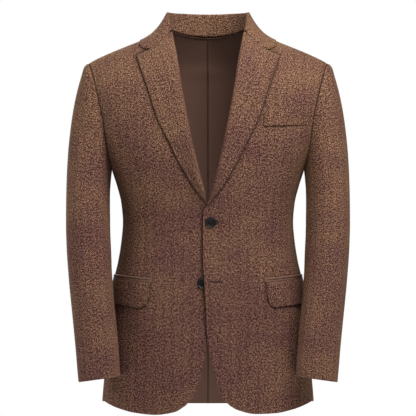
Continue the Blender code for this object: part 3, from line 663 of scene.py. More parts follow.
class Pieces:
    def __init__(self, cloth: bpy.types.Material, reverse: bpy.types.Material) -> None:
        """Keep the two faces of the cloth.

        Args:
            cloth: the finish of the outer face.
            reverse: the finish of the inner face.
        """
        self.cloth = cloth
        self.reverse = reverse

    def sheet(
        self,
        node: str,
        patch: Patch,
        cut: tuple[float, float],
        wall: float = WALL,
        centred: bool = False,
    ) -> bpy.types.Object:
        """Make one sheet of cloth in place of its CAD node.

        Args:
            node: the CAD node that it replaces.
            patch: the cloth.
            cut: width and length of the cut in millimetres.
            wall: the cloth's thickness.
            centred: whether the patch is the wall's middle and not its outer face.

        Returns:
            The piece.
        """
        rows, columns = patch.points.shape[:2]
        index = np.arange(rows * columns).reshape(rows, columns)
        faces = np.stack([index[:-1, :-1], index[:-1, 1:], index[1:, 1:], index[1:, :-1]], axis=-1)
        p, i, j = patch.points, rows // 2, columns // 2
        turn = np.cross(p[i, j + 1] - p[i, j], p[i + 1, j] - p[i, j])
        if float(np.dot(turn, patch.outward[i, j])) < 0:
            faces = faces[..., ::-1]
        mesh = bpy.data.meshes.new(f"{node}_cloth")
        mesh.from_pydata((patch.points.reshape(-1, 3) * MM).tolist(), [], faces.reshape(-1, 4).tolist())
        corner = np.empty(len(mesh.loops), dtype=np.int32)
        mesh.loops.foreach_get("vertex_index", corner)
        layer = mesh.uv_layers.new(name=CLOTH_MAP)
        layer.data.foreach_set("uv", (patch.cloth.reshape(-1, 2)[corner] / UV_UNIT).ravel())
        # The seam attribute carries painted shade: the shader darkens the colour near seams and darts and
        # under edges that lie on the cloth.
        seam = mesh.attributes.new("seam", "FLOAT", "POINT")
        seam.data.foreach_set("value", patch.seam.ravel())
        mesh.shade_smooth()
        mesh.materials.append(self.cloth)
        mesh.materials.append(self.reverse)
        piece = bpy.data.objects.new(f"{node}_cloth", mesh)
        bpy.context.scene.collection.objects.link(piece)
        wall_of = piece.modifiers.new("wall", "SOLIDIFY")
        wall_of.thickness = wall * MM
        wall_of.offset = 0.0 if centred else -1.0
        wall_of.material_offset = 1
        self.declare(piece, node, "cloth")
        width, length = (size * MM for size in cut)
        steps_down = np.linalg.norm(np.diff(patch.points, axis=0)[:, :-1], axis=-1)
        area = float(
            (np.linalg.norm(np.cross(
                patch.points[1:, :-1] - patch.points[:-1, :-1],
                patch.points[:-1, 1:] - patch.points[:-1, :-1],
            ), axis=-1)).sum()
        ) * MM * MM
        # Worked out from this same mesh, so it is an estimate and can't confirm the cut's size
        flat_area = min(max(area * WITH_ALLOWANCES, LEAST_FILLED * width * length), width * length)
        LOG.info("%s: %d faces, %.4f m2 of cloth, steps %.1f mm", node, len(mesh.polygons), area,
                 float(np.median(steps_down)))
        return piece

    @staticmethod
    def declare(piece: bpy.types.Object, node: str | None, slot: str) -> None:
        """Attach a piece to its body's empty, and hide the CAD node that it replaces."""
        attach(piece, BODY)
        if node:
            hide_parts(node)


# ---------------------------------------------------------------- shader expressions


def paint(red: float, green: float, blue: float) -> tuple[float, float, float, float]:
    """A colour given as a screen shows it, 0 to 255, for a shader's socket."""
    linear = [((c / 255 + 0.055) / 1.055) ** 2.4 if c > 10 else c / 3294.6 for c in (red, green, blue)]
    return (linear[0], linear[1], linear[2], 1.0)


class Number:
    """A shader's number; arithmetic on it adds Math nodes."""

    def __init__(self, shader: "Shader", socket: Any) -> None:
        """Wrap a socket of a shader."""
        self.shader = shader
        self.socket = socket

    def __add__(self, other: Any) -> "Number":
        """Sum."""
        return self.shader.maths("ADD", self, other)

    __radd__ = __add__

    def __mul__(self, other: Any) -> "Number":
        """Product."""
        return self.shader.maths("MULTIPLY", self, other)

    __rmul__ = __mul__

    def __sub__(self, other: Any) -> "Number":
        """Difference."""
        return self.shader.maths("SUBTRACT", self, other)

    def __rsub__(self, other: Any) -> "Number":
        """Difference from a plain number."""
        return self.shader.maths("SUBTRACT", other, self)

    def __truediv__(self, other: Any) -> "Number":
        """Quotient."""
        return self.shader.maths("DIVIDE", self, other)

    def wave(self) -> "Number":
        """From 0 to 1 and back once for each whole number."""
        return self.shader.maths("SINE", self * (2 * math.pi)) * 0.5 + 0.5

    def step(self, low: float, high: float) -> "Number":
        """A soft step from 0 at low to 1 at high."""
        return Number(self.shader, self.shader.node(
            "ShaderNodeMapRange",
            {"interpolation_type": "SMOOTHSTEP"},
            {"Value": self, "From Min": low, "From Max": high},
        ).outputs["Result"])


class Shader:
    """A material under construction."""

    def __init__(self, name: str, roughness: float, **constants: Any) -> None:
        """Start a material.

        Args:
            name: the material's name.
            roughness: its usual roughness.
            **constants: values of the shader's own sockets, spaces in their names as "_".
        """
        self.material = bpy.data.materials.new(name)
        self.material.use_nodes = True
        self.tree = self.material.node_tree
        self.principled = self.tree.nodes["Principled BSDF"]
        self.principled.inputs["Roughness"].default_value = roughness
        for key, value in constants.items():
            self.principled.inputs[key.replace("_", " ")].default_value = value

    def node(self, kind: str, settings: dict[str, Any], sockets: dict[Any, Any]) -> bpy.types.Node:
        """Add a node.

        Args:
            kind: the node's type.
            settings: its properties, set first.
            sockets: values or links of its inputs, by name or number.

        Returns:
            The node.
        """
        made = self.tree.nodes.new(kind)
        for key, value in settings.items():
            setattr(made, key, value)
        for key, value in sockets.items():
            self.feed(made.inputs[key], value)
        return made

    def feed(self, socket: Any, value: Any) -> None:
        """Link a value to a socket, or set it there."""
        if isinstance(value, Number):
            value = value.socket
        if isinstance(value, bpy.types.NodeSocket):
            self.tree.links.new(value, socket)
        else:
            socket.default_value = value

    def maths(self, operation: str, *values: Any) -> Number:
        """Add a Math node and return its result."""
        made = self.node("ShaderNodeMath", {"operation": operation}, dict(enumerate(values)))
        return Number(self, made.outputs[0])

    def blend(self, share: Any, first: Any, second: Any) -> Any:
        """Blend two colours and return the result's socket."""
        made = self.node("ShaderNodeMix", {"data_type": "RGBA"}, {0: share, 6: first, 7: second})
        return made.outputs[2]

    def cloth_place(self) -> tuple[Number, Number, Any]:
        """Millimetres across and along the cloth, and the UV socket itself."""
        uv = self.node("ShaderNodeUVMap", {"uv_map": CLOTH_MAP}, {}).outputs[0]
        parts = self.node("ShaderNodeSeparateXYZ", {}, {0: uv})
        across, along = Number(self, parts.outputs[0]), Number(self, parts.outputs[1])
        return across * UV_UNIT, along * UV_UNIT, uv

    def noise(self, place: Any, scale: float, detail: float = 2.0, rough: float = 0.5) -> Number:
        """Noise from 0 to 1 at a place, with a scale in features to the unit."""
        made = self.node(
            "ShaderNodeTexNoise",
            {"noise_dimensions": "3D"},
            {"Vector": place, "Scale": scale, "Detail": detail, "Roughness": rough},
        )
        return Number(self, made.outputs[0])

    def object_place(self) -> Any:
        """The Object coordinates' socket."""
        return self.node("ShaderNodeTexCoord", {}, {}).outputs["Object"]

    def attribute(self, name: str) -> Number:
        """A number kept on the mesh's points."""
        made = self.node("ShaderNodeAttribute", {"attribute_name": name}, {})
        return Number(self, made.outputs["Fac"])

    def bump(self, height: Any, distance: float, strength: float = 1.0) -> None:
        """Raise the surface by a height in units of the distance."""
        made = self.node("ShaderNodeBump", {}, {"Height": height, "Distance": distance, "Strength": strength})
        self.feed(self.principled.inputs["Normal"], made.outputs[0])

    def colour(self, value: Any) -> None:
        """Feed the base colour."""
        self.feed(self.principled.inputs["Base Color"], value)

    def roughness(self, value: Any) -> None:
        """Feed the roughness."""
        self.feed(self.principled.inputs["Roughness"], value)


# ---------------------------------------------------------------- finishes


@dataclass(frozen=True)
class HerringboneWool:
    """Brown and tan wool in a fine herringbone, with flecks, a soft gold cast in places, a painted light that
    turns it more gold towards the top, and painted shade along seams and under edges.
    """

    column: float = 9.2
    pitch: float = 4.1
    slope: float = 1.1
    red_brown: tuple[float, float, float] = (77, 41, 37)
    gold_brown: tuple[float, float, float] = (104, 72, 51)
    rose_thread: tuple[float, float, float] = (170, 132, 122)
    pale_thread: tuple[float, float, float] = (192, 154, 122)
    dark_thread: tuple[float, float, float] = (24, 9, 8)
    # painted shade: the dark colour that stands in for shade along seams and darts and under edges that lie
    # on the cloth
    painted_shade: tuple[float, float, float] = (30, 17, 13)

    def dress(self, name: str) -> bpy.types.Material:
        """Make the material.

        Args:
            name: its name.

        Returns:
            The material.
        """
        s = Shader(name, 0.9, Sheen_Weight=0.12, Sheen_Roughness=0.5, Specular_IOR_Level=0.15)
        s.principled.inputs["Sheen Tint"].default_value = paint(224, 180, 130)
        across, along, uv = s.cloth_place()
        turns = across / self.column
        saw = s.maths("PINGPONG", turns, 1.0)
        parity = s.maths("MODULO", s.maths("FLOOR", turns + 2000.0), 2.0)
        phase = (along + saw * (self.column * self.slope)) / self.pitch + parity * 0.5
        stripe = (phase + s.noise(uv, 9.0, 3.0) * 0.35).wave()
        thread = s.noise(uv, 47.0, 1.0, 0.4)
        fleck = s.noise(uv, 30.0, 1.0, 0.4)
        cast = s.noise(s.object_place(), 11.0, 5.0, 0.7)
        # Painted light from above: by its height, the cloth turns more gold towards the top.
        level = Number(s, s.node("ShaderNodeSeparateXYZ", {}, {0: s.object_place()}).outputs[2])
        gold_tone_and_top_light = (cast + (fleck - 0.5) * 0.6 + level.step(-0.42, 0.04) * 0.12).step(0.34, 0.80)
        ground = s.blend(gold_tone_and_top_light, paint(*self.red_brown), paint(*self.gold_brown))
        pale = s.blend(gold_tone_and_top_light, paint(*self.rose_thread), paint(*self.pale_thread))
        tone = stripe * 0.8 + (thread - 0.5) * 5.0 + (fleck - 0.5) * 2.2 + (parity - 0.5) * 0.10 + 0.1
        woven = s.blend(tone.step(0.5, 1.3) * 0.52, ground, pale)
        woven = s.blend((1 - tone).step(0.45, 1.2) * 0.72, woven, paint(*self.dark_thread))
        # Painted shade: the colour darkens near seams and darts, and along lines where shadows under lying
        # edges are painted.
        sewn = 1 - s.attribute("seam").step(*PAINTED_SHADE_FADE)
        s.colour(s.blend(sewn * 0.8, woven, paint(*self.painted_shade)))
        s.roughness(thread * 0.16 + 0.80)
        height = stripe * 0.22 + thread * 0.30 - sewn * 0.8
        s.bump(height, 0.0006, 0.7)
        return s.material


@dataclass(frozen=True)
class ClothReverse:
    """The plain inner face of the cloth."""

    shade: tuple[float, float, float] = (98, 70, 58)
    rib: tuple[float, float, float] = (124, 92, 76)
    pitch: float = 2.4

    def dress(self, name: str) -> bpy.types.Material:
        """Make the material.

        Args:
            name: its name.

        Returns:
            The material.
        """
        s = Shader(name, 0.7, Specular_IOR_Level=0.3)
        across, along, uv = s.cloth_place()
        twill = ((across + along) / self.pitch).wave()
        mixed = twill * 0.5 + s.noise(uv, 24.0, 3.0) * 0.5
        s.colour(s.blend(mixed, paint(*self.shade), paint(*self.rib)))
        s.roughness(mixed * 0.15 + 0.6)
        s.bump(twill, 0.0002, 0.6)
        return s.material


@dataclass(frozen=True)
class ButtonResin:
    """Near-black button resin with a faint cloudy grain."""

    deep: tuple[float, float, float] = (11, 9, 10)
    cloud: tuple[float, float, float] = (30, 25, 24)

    def dress(self, name: str) -> bpy.types.Material:
        """Make the material.

        Args:
            name: its name.

        Returns:
            The material.
        """
        s = Shader(name, 0.32, Specular_IOR_Level=0.3)
        grain = s.noise(s.object_place(), 210.0, 4.0, 0.65)
        s.colour(s.blend(grain.step(0.42, 0.72), paint(*self.deep), paint(*self.cloud)))
        s.roughness(grain * 0.22 + 0.28)
        s.bump(grain, 0.0001, 0.3)
        return s.material


@dataclass(frozen=True)
class SewingThread:
    """Dark brown twisted thread."""

    deep: tuple[float, float, float] = (32, 13, 11)
    light: tuple[float, float, float] = (58, 32, 26)

    def dress(self, name: str) -> bpy.types.Material:
        """Make the material.

        Args:
            name: its name.

        Returns:
            The material.
        """
        s = Shader(name, 0.6, Specular_IOR_Level=0.35)
        twist = s.noise(s.object_place(), 900.0, 2.0, 0.6)
        s.colour(s.blend(twist, paint(*self.deep), paint(*self.light)))
        s.roughness(twist * 0.2 + 0.5)
        s.bump(twist, 0.0001, 0.5)
        return s.material


# ---------------------------------------------------------------- body


ROLL = [
    # z, x
    (22.4, 77.5),
    (11, 70.8),
    (-4, 68.2),
    (-34, 62.5),
    (-94, 53.5),
    (-158, 41.5),
    (-216, 29),
    (-270, 16),
    (-300, 7.5),
    (-312, 4),
]
ROLL_LINE = Curve(("z", "x"), ROLL + [(-322, -3)])
EDGE_OVER = ROLL + [
    (-322, -3),
    (-335, -9),
    (-360, -9.8),
    (-410, -9.8),
    (-468, -7.4),
    (-531, -3.9),
    (-583, -1.2),
    (-610, 3),
    (-650, 12.5),
    (-672, 18.7),
    (-690, 26),
    (-702, 33),
    (-712, 43),
]
EDGE_UNDER = ROLL + [
    (-322, -4),
    (-335, -14),
    (-355, -17),
    (-400, -15),
    (-474, -7),
    (-540, -1.5),
    (-599, 3),
    (-627, 8.5),
    (-655, 14),
    (-685, 24),
    (-700, 33),
    (-711, 43),
]
SIDE_HEM_Z = -704.0
BACK_HEM_Z = -710.0
HEM_OVER = [
    # x, z
    (43, -712),
    (57, -720),
    (93, -728),
    (129, -726.5),
    (165, -719),
    (192, -709),
    (202, SIDE_HEM_Z),
]
HEM_UNDER = [
    (43, -711),
    (65, -724),
    (102, -729.5),
    (139, -726),
    (177, -716),
    (193, -709),
    (202, SIDE_HEM_Z),
]
ROW_SLANT = Curve(
    ("at_armhole", "at_edge"),
    [
        (-45, 22.4),
        (-60, 6),
        (-85, -26),
        (-115, -68),
        (-151, -120),
        (-190, -174),
        (-225, -218),
        (-256, -256),
        (-300, -300),
        (-620, -622),
        (-678, -685),
        (-704, -712),
    ],
)
# The hip pocket's flap and the band above it, where they leave a shadow on the cloth below
FLAP_OUTLINE = [
    # x, z
    (190, -456.5),
    (146, -461),
    (110, -464.5),
    (112, -494),
    (116.5, -509),
    (124, -519.5),
    (129, -521.5),
    (146, -519),
    (190, -512),
]
DART_LEFT = Curve(("z", "x"), [(-239, 145), (-294, 132), (-333, 126), (-410, 125), (-462, 127)])
DART_RIGHT = Curve(("z", "x"), [(-263, 134), (-330, 124.5), (-401, 123), (-466, 123)])


@dataclass
class Torso:
    """Fronts, side bodies and backs."""

    form: BodyForm
    step: float = 3.2
    neck_x: float = 77.5
    neck_z: float = 22.4
    neck_back_z: float = 5.0
    neck_share: float = 4 / 11
    dart_depth: float = 1.2

    def shoulder_line(self, s: Grid, front: bool) -> Grid:
        """(angle, z) along the shoulder seam at shares from the neck to the tip."""
        x = self.neck_x + (ARMHOLE("x", self.form.armhole_top) - self.neck_x) * s
        z = SHOULDER("z", x)
        return np.stack([self.form.angle(x, z, front), z], axis=-1)

    def side_line(self, angle: float, from_z: float, step: float) -> Grid:
        """(angle, z) down a side seam from the armhole to the hem, its start left out."""
        length = from_z - SIDE_HEM_Z
        z = from_z - length * spread(length, step, False, True)[1:]
        return np.stack([np.full_like(z, angle), z], axis=-1)

    @staticmethod
    def down_shares(line: Grid) -> Grid:
        """Shares of a line's length at its points."""
        run = run_along(line * np.array((2.0, 1.0)), 0)
        return run / run[-1]

    def front(self, edge: Sequence[Any], hem: Sequence[Any], lap: float, dart: Curve) -> Patch:
        """A fore part, as if on the left.

        Args:
            edge: rows of z and x down its inner edge.
            hem: rows of x and z along its hem.
            lap: 1 on the over front and -1 on the under front.
            dart: the sewn dart's line.

        Returns:
            The patch.
        """
        form = self.form
        turns = form.front_turn * spread(200, 4.5, True, False)
        upper = form.armhole_place(turns)
        last = np.concatenate([upper, self.side_line(form.side_front_seam, upper[-1, 1], self.step)])
        edge_line, hem_line = Curve(("z", "x"), edge), Curve(("x", "z"), hem)
        z = ROW_SLANT("at_edge", last[:, 1])
        first = np.stack([form.angle(edge_line("x", z), z), z], axis=-1)
        s = spread(235, self.step)
        top = self.shoulder_line(s, True)
        start = float(form.angle(hem[0][0], hem[0][1]))
        angle = start + (form.side_front_seam - start) * s
        bottom = np.stack([angle, hem_line("z", form.point(angle, SIDE_HEM_Z)[..., 0])], axis=-1)
        bottom[0], bottom[-1] = (start, hem[0][1]), (form.side_front_seam, SIDE_HEM_Z)
        first[0], first[-1], last[0], last[-1] = top[0], bottom[0], top[-1], bottom[-1]
        places = fill(top, bottom, first, last, s, self.down_shares(last))
        into = self.into_armhole(turns, last[:, 1], form.side_front_seam)
        patch = self.patch(places, 0.0, {"top": Edge.SEWN, "last": Edge.SEWN}, {"last": into}, lap)
        x, z = patch.points[..., 0], patch.points[..., 2]
        past = np.maximum(z - dart.keys[-1], 0) + np.maximum(dart.keys[0] - z, 0)
        patch.groove(np.hypot(x - dart("x", z), past * 1.5), self.dart_depth, 3.0)
        # Painted shadow beside the lapel's top and outer edge.
        rim = np.array([(78, -8), NOTCH + (3, 1)] + LAPEL_EDGE, float)
        patch.shade(beside(x, z, rim), 6.5, 0.8)
        # Painted shadow on the under front beside the over front's edge.
        if lap < 0:
            over = Curve(("z", "x"), EDGE_OVER)
            covered = np.where(z < -322, np.abs(x + over("x", z)), FAR)
            patch.shade(covered, 8.0, 0.8)
        return patch

    def into_armhole(self, turns: Grid, z: Grid, angle: float) -> Grid:
        """Which way the cloth is pulled down an armhole and on down the side seam.

        Args:
            turns: turns round the armhole.
            z: heights of the whole line.
            angle: the side seam's angle.

        Returns:
            Directions as one column of a grid.
        """
        centre = np.array((0.0, 0.0, self.form.armhole_middle))
        round_it = (self.form.armhole_point(turns) - centre) * np.array((0.0, 1.0, 1.0))
        low = z[len(turns) :]
        side = -self.form.normal(np.full_like(low, angle), low)
        return np.concatenate([-unit(round_it), side])[:, None]

    def patch(
        self,
        places: Grid,
        start: float,
        edges: dict[str, Edge],
        pull: dict[str, Grid],
        lap: float = 0.0,
    ) -> Patch:
        """Cloth on the body over a grid of (angle, z)."""
        angle, z = places[..., 0], places[..., 1]
        outward = self.form.normal(angle, z, lap)
        points = self.form.point(angle, z, lap)
        run = run_along(points, 0)
        cloth = np.stack([self.form.girth(angle, z, start), z[-1:] + run[-1:] - run], axis=-1)
        made = Patch.pressed(points, cloth, outward, edges, pull=pull)
        # Painted shadow along the hip pocket's flap and the band above it.
        ahead = made.points[..., 1] < 0
        x, z = made.points[..., 0], made.points[..., 2]
        made.shade(np.where(ahead, beside(x, z, np.array(FLAP_OUTLINE)), FAR), 4.5, 0.6)
        return made

    def side(self) -> Patch:
        """A side body, as if on the left."""
        form = self.form
        s = spread(100, self.step)
        turns = form.front_turn + (form.back_turn - form.front_turn) * s
        top = form.armhole_place(turns)
        t = spread(450, self.step)
        edges = []
        for angle, corner in ((form.side_front_seam, top[0]), (form.side_back_seam, top[-1])):
            z = corner[1] + (SIDE_HEM_Z - corner[1]) * t
            edges.append(np.stack([np.full_like(z, angle), z], axis=-1))
        top[0], top[-1] = edges[0][0], edges[1][0]
        angle = form.side_front_seam + (form.side_back_seam - form.side_front_seam) * s
        bottom = np.stack([angle, np.full_like(angle, SIDE_HEM_Z)], axis=-1)
        places = fill(top, bottom, edges[0], edges[1], s, t)
        into = self.into_armhole(turns, top[:0, 1], 0.0)[:, 0][None]
        sewn = {"top": Edge.SEWN, "first": Edge.SEWN, "last": Edge.SEWN}
        return self.patch(places, 0.0, sewn, {"top": into})

    def back(self) -> Patch:
        """Half of the back, as if on the left."""
        form = self.form
        turns = 360 - (360 - form.back_turn) * spread(180, 4.5, True, False)
        upper = form.armhole_place(turns)
        last = np.concatenate([upper, self.side_line(form.side_back_seam, upper[-1, 1], self.step)])
        share = (last[:, 1] - form.armhole_top) / (SIDE_HEM_Z - form.armhole_top)
        z = self.neck_back_z + (BACK_HEM_Z - self.neck_back_z) * share
        first = np.stack([np.full_like(z, 180.0), z], axis=-1)
        s = spread(210, self.step)
        neck_x = self.neck_x * np.clip(s / self.neck_share, 0, 1)
        neck_z = self.neck_back_z + (self.neck_z - self.neck_back_z) * (neck_x / self.neck_x) ** 2.2
        neck = np.stack([form.angle(neck_x, neck_z, False), neck_z], axis=-1)
        shoulder = self.shoulder_line(np.clip((s - self.neck_share) / (1 - self.neck_share), 0, 1), False)
        top = np.where((s < self.neck_share)[:, None], neck, shoulder)
        bottom = np.stack(
            [180 + (form.side_back_seam - 180) * s, BACK_HEM_Z + (SIDE_HEM_Z - BACK_HEM_Z) * s * s],
            axis=-1,
        )
        top[0], first[0], first[-1] = first[0], first[0], bottom[0]
        last[0], last[-1] = top[-1], bottom[-1]
        places = fill(top, bottom, first, last, s, self.down_shares(last))
        into = self.into_armhole(turns, last[:, 1], form.side_back_seam)
        sewn = {"top": Edge.SEWN, "first": Edge.BUTTED, "last": Edge.SEWN}
        return self.patch(places, 180.0, sewn, {"last": into})

    def build(self, pieces: Pieces) -> None:
        """Make all six pieces."""
        left = self.front(EDGE_OVER, HEM_OVER, 1.0, DART_LEFT)
        right = self.front(EDGE_UNDER, HEM_UNDER, -1.0, DART_RIGHT).mirrored()
        side, back = self.side(), self.back()
        pieces.sheet("front_left", left, (275, 770))
        pieces.sheet("front_right", right, (275, 770))
        for which, patch_side, patch_back in (
            (Side.LEFT, side, back),
            (Side.RIGHT, side.mirrored(), back.mirrored()),
        ):
            word = which.word
            pieces.sheet(f"side_{word}", patch_side, (125, 510))
            pieces.sheet(f"back_{word}", patch_back, (245, 745))


# ---------------------------------------------------------------- sleeves


SLEEVE_RINGS = [
    # outer_x, outer_z, inner_x, inner_z, middle_y, half_depth, armhole_share
    (231.75, -45, 187.15, -256, 0, 70, 1.00),
    (237, -48, 187.5, -258.5, 0, 70, 0.90),
    (242, -54, 188, -262, 0, 70, 0.74),
    (247, -70, 188.6, -267, -1, 70.5, 0.55),
    (255.5, -101, 189.4, -276, -2, 71, 0.30),
    (263.5, -141, 190.5, -290, -5, 71.5, 0.12),
    (269, -181, 191, -306, -9, 71.5, 0),
    (273, -222, 191, -323, -14, 71, 0),
    (275.3, -265, 190.7, -342, -20, 70, 0),
    (276.3, -310, 190.2, -363, -28, 69, 0),
    (276.5, -356, 189.5, -388, -37, 67, 0),
    (275.2, -403, 188, -420, -47, 65, 0),
    (271.5, -456, 186, -462, -58, 61, 0),
    (267, -507, 183, -507, -71, 57, 0),
    (262, -556, 177.8, -555, -84, 53.5, 0),
    (257, -606, 173.8, -600, -97, 50.5, 0),
    (254, -642, 171.6, -632, -106, 48, 0),
    (251.7, -666, 170.6, -654.5, -110, 46.5, 0),
]
SLEEVE_COLUMNS = ("ring", "outer_x", "outer_z", "inner_x", "inner_z", "middle_y", "half_depth", "share")
SLEEVE = Curve(SLEEVE_COLUMNS, [(i, *row) for i, row in enumerate(SLEEVE_RINGS)])
# turn, ring, half_turn, half_rings, slope (rings for each degree), height
SLEEVE_CREASES = [
    (128, 9.2, 34, 0.42, 0.010, -1.8),
    (112, 10.4, 38, 0.46, -0.008, -1.6),
    (132, 11.3, 34, 0.40, 0.006, -1.4),
    (96, 8.0, 38, 0.55, 0.012, -1.1),
    (110, 12.4, 36, 0.50, 0.010, -1.0),
    (60, 5.0, 40, 1.2, 0.030, -1.1),
    (92, 3.6, 30, 1.1, -0.020, 1.1),
    (48, 14.0, 44, 0.9, 0.015, -0.9),
    (238, 9.6, 40, 0.5, 0.010, -1.8),
    (252, 10.9, 40, 0.46, -0.008, -1.6),
    (228, 12.0, 36, 0.46, 0.006, -1.2),
    (290, 6.0, 40, 1.0, 0.020, -1.3),
    (318, 11.5, 38, 1.4, 0.020, 1.0),
    (48, 9.0, 38, 1.6, -0.02, 0.9),
]


@dataclass
class Sleeve:
    """A two-piece sleeve."""

    form: BodyForm
    squareness: float = 0.10
    seam_air: float = 0.35
    front_seam_steps: float = 2 / 8
    back_seam_steps: float = 6 / 11
    row_count: int = 150
    column_step: float = 4.6
    length: float = 615.0
    girth: float = 340.0
    mean_radius: float = 54.0  # by which a turn becomes a width on the cut

    def points(self, turn: Grid, ring: Grid) -> Grid:
        """Points of the sleeve at turns round it and places down it."""
        turn, ring = np.broadcast_arrays(turn, ring)
        out, forward = square_cosine(turn, self.squareness), square_sine(turn, self.squareness)
        ring_of = {name: SLEEVE(name, ring) for name in SLEEVE_COLUMNS[1:]}
        start = dict(zip(SLEEVE_COLUMNS[1:], SLEEVE_RINGS[0]))

        def ring_points(r: dict[str, Any]) -> Grid:
            """Points of the oval that a ring's measures give."""
            x = (r["outer_x"] + r["inner_x"]) / 2 + (r["outer_x"] - r["inner_x"]) / 2 * out
            z = (r["outer_z"] + r["inner_z"]) / 2 + (r["outer_z"] - r["inner_z"]) / 2 * out
            return np.stack([x, r["middle_y"] - r["half_depth"] * forward, z], axis=-1)

        seam = self.form.armhole_point(np.mod(turn, 360)) + np.array((self.seam_air, 0, 0))
        return ring_points(ring_of) + ring_of["share"][..., None] * (seam - ring_points(start))

    def part(self, from_turn: float, to_turn: float) -> Patch:
        """The cloth between two seams.

        Args:
            from_turn: the first seam's turn.
            to_turn: the second seam's turn.

        Returns:
            The patch, as if on the left.
        """
        width = self.girth * (to_turn - from_turn) / 360
        turn = from_turn + (to_turn - from_turn) * spread(width, self.column_step)
        last = len(SLEEVE_RINGS) - 1
        start = np.array([0.0, 0.10, 0.22, 0.4, 0.6, 0.8, 1.0])
        share = spread(self.length, self.length / self.row_count, False, True)
        ring = np.concatenate([start[:-1], 1 + (last - 1) * share])
        turn_grid, ring_grid = np.meshgrid(turn, ring)
        points = self.points(turn_grid, ring_grid)
        down = np.gradient(points, axis=0)
        across = np.gradient(points, axis=1)
        outward = unit(np.cross(down, across))
        middle = len(ring) // 2, len(turn) // 2
        way = np.stack([square_cosine(turn, 0), -square_sine(turn, 0), 0 * turn], axis=-1)
        if float(np.dot(outward[middle], way[middle[1]])) < 0:
            outward = -outward
        crease = np.zeros(ring_grid.shape)
        for at_turn, at_ring, half_turn, half_rings, slope, height in SLEEVE_CREASES:
            away = np.mod(turn_grid - at_turn + 180, 360) - 180
            off = (ring_grid - at_ring) - away * slope
            crease += height * np.exp(-((away / half_turn) ** 2) - (off / half_rings) ** 2)
        points = points + outward * crease[..., None]
        run = run_along(points, 0)
        round_it = np.radians(turn_grid) * self.mean_radius
        cloth = np.stack([round_it, run[-1:] - run], axis=-1)
        edges = {"top": Edge.SEWN, "first": Edge.SEWN, "last": Edge.SEWN}
        seam = self.form.armhole_point(np.mod(turn, 360)) * np.array((0.0, 1.0, 1.0))
        into = -unit(seam - np.array((0.0, 0.0, self.form.armhole_middle)))
        return Patch.pressed(points, cloth, outward, edges, 0.7, {"top": into[None]})

    def build(self, pieces: Pieces) -> None:
        """Make top and under sleeves on both sides."""
        f, b = self.form.front_turn, self.form.back_turn
        front_seam = f + (b - f) * self.front_seam_steps
        back_seam = b + (360 - b) * self.back_seam_steps
        parts = (
            ("sleeve_top", self.part(back_seam - 360, front_seam), (250, 650)),
            ("sleeve_under", self.part(front_seam, back_seam), (150, 600)),
        )
        for node, patch, cut in parts:
            for side in Side:
                chosen = patch if side is Side.LEFT else patch.mirrored()
                pieces.sheet(f"{node}_{side.word}", chosen, cut)


# ---------------------------------------------------------------- lapels and collar


NOTCH = np.array((109.0, -16.0))
LAPEL_EDGE = [
    # x, z
    (139.5, -30.5),
    (132, -54),
    (122.8, -79),
    (114, -106),
    (105, -135),
    (95.5, -160),
    (84, -183),
    (71, -209),
    (60, -232),
    (47, -255),
    (33, -279),
    (20, -297),
    (9, -311),
    (1, -322),
]
LAPEL_FOLD = [
    # out, lift
    (-2.7, -1.7),
    (-3.1, 0.6),
    (-2.6, 3.2),
    (-0.6, 5.4),
    (3.2, 6.8),
]
LAPEL_REACH = [
    # share of the way to the outer edge, lift
    (0.20, 7.2),
    (0.40, 6.3),
    (0.60, 5.1),
    (0.80, 4.1),
    (1.00, 3.5),
]
COLLAR_STATIONS = [
    # neck_x, neck_z, edge_x, edge_z, on_front, rise, tilt
    (0, 5, 0, -3, False, 44, 0),
    (14, 5.4, 19, -3, False, 43.8, 0),
    (28, 6.6, 38, -2.9, False, 43, 0),
    (42, 8.8, 57, -2.6, False, 41.5, 0),
    (54, 11.8, 76, -2.1, False, 39, 0),
    (64, 15.4, 94, -1.5, False, 36, 0),
    (72, 19.2, 112, -0.8, False, 33, 0),
    (77.5, 22.3, 130.5, -0.9, False, 30.5, 0),
    (76.3, 20.4, 132, -3.6, True, 26, 0.1),
    (74.6, 18.5, 132.8, -5.8, True, 20, 0.25),
    (72.6, 16.6, 132.8, -7.8, True, 13, 0.5),
    (71, 15.2, 132.2, -9.4, True, 8.5, 0.8),
    (70.0, 14.0, 131.5, -10.5, True, 6, 1),
]


def even_steps(line: Sequence[Any], count: int) -> Grid:
    """Points at equal distances along a line in the front view."""
    line = np.array(line, float)
    run = run_along(line, 0)
    curve = Curve(("run", "x", "z"), [(r, x, z) for r, (x, z) in zip(run, line)])
    places = np.linspace(0, run[-1], count)
    return np.stack([curve("x", places), curve("z", places)], axis=-1)


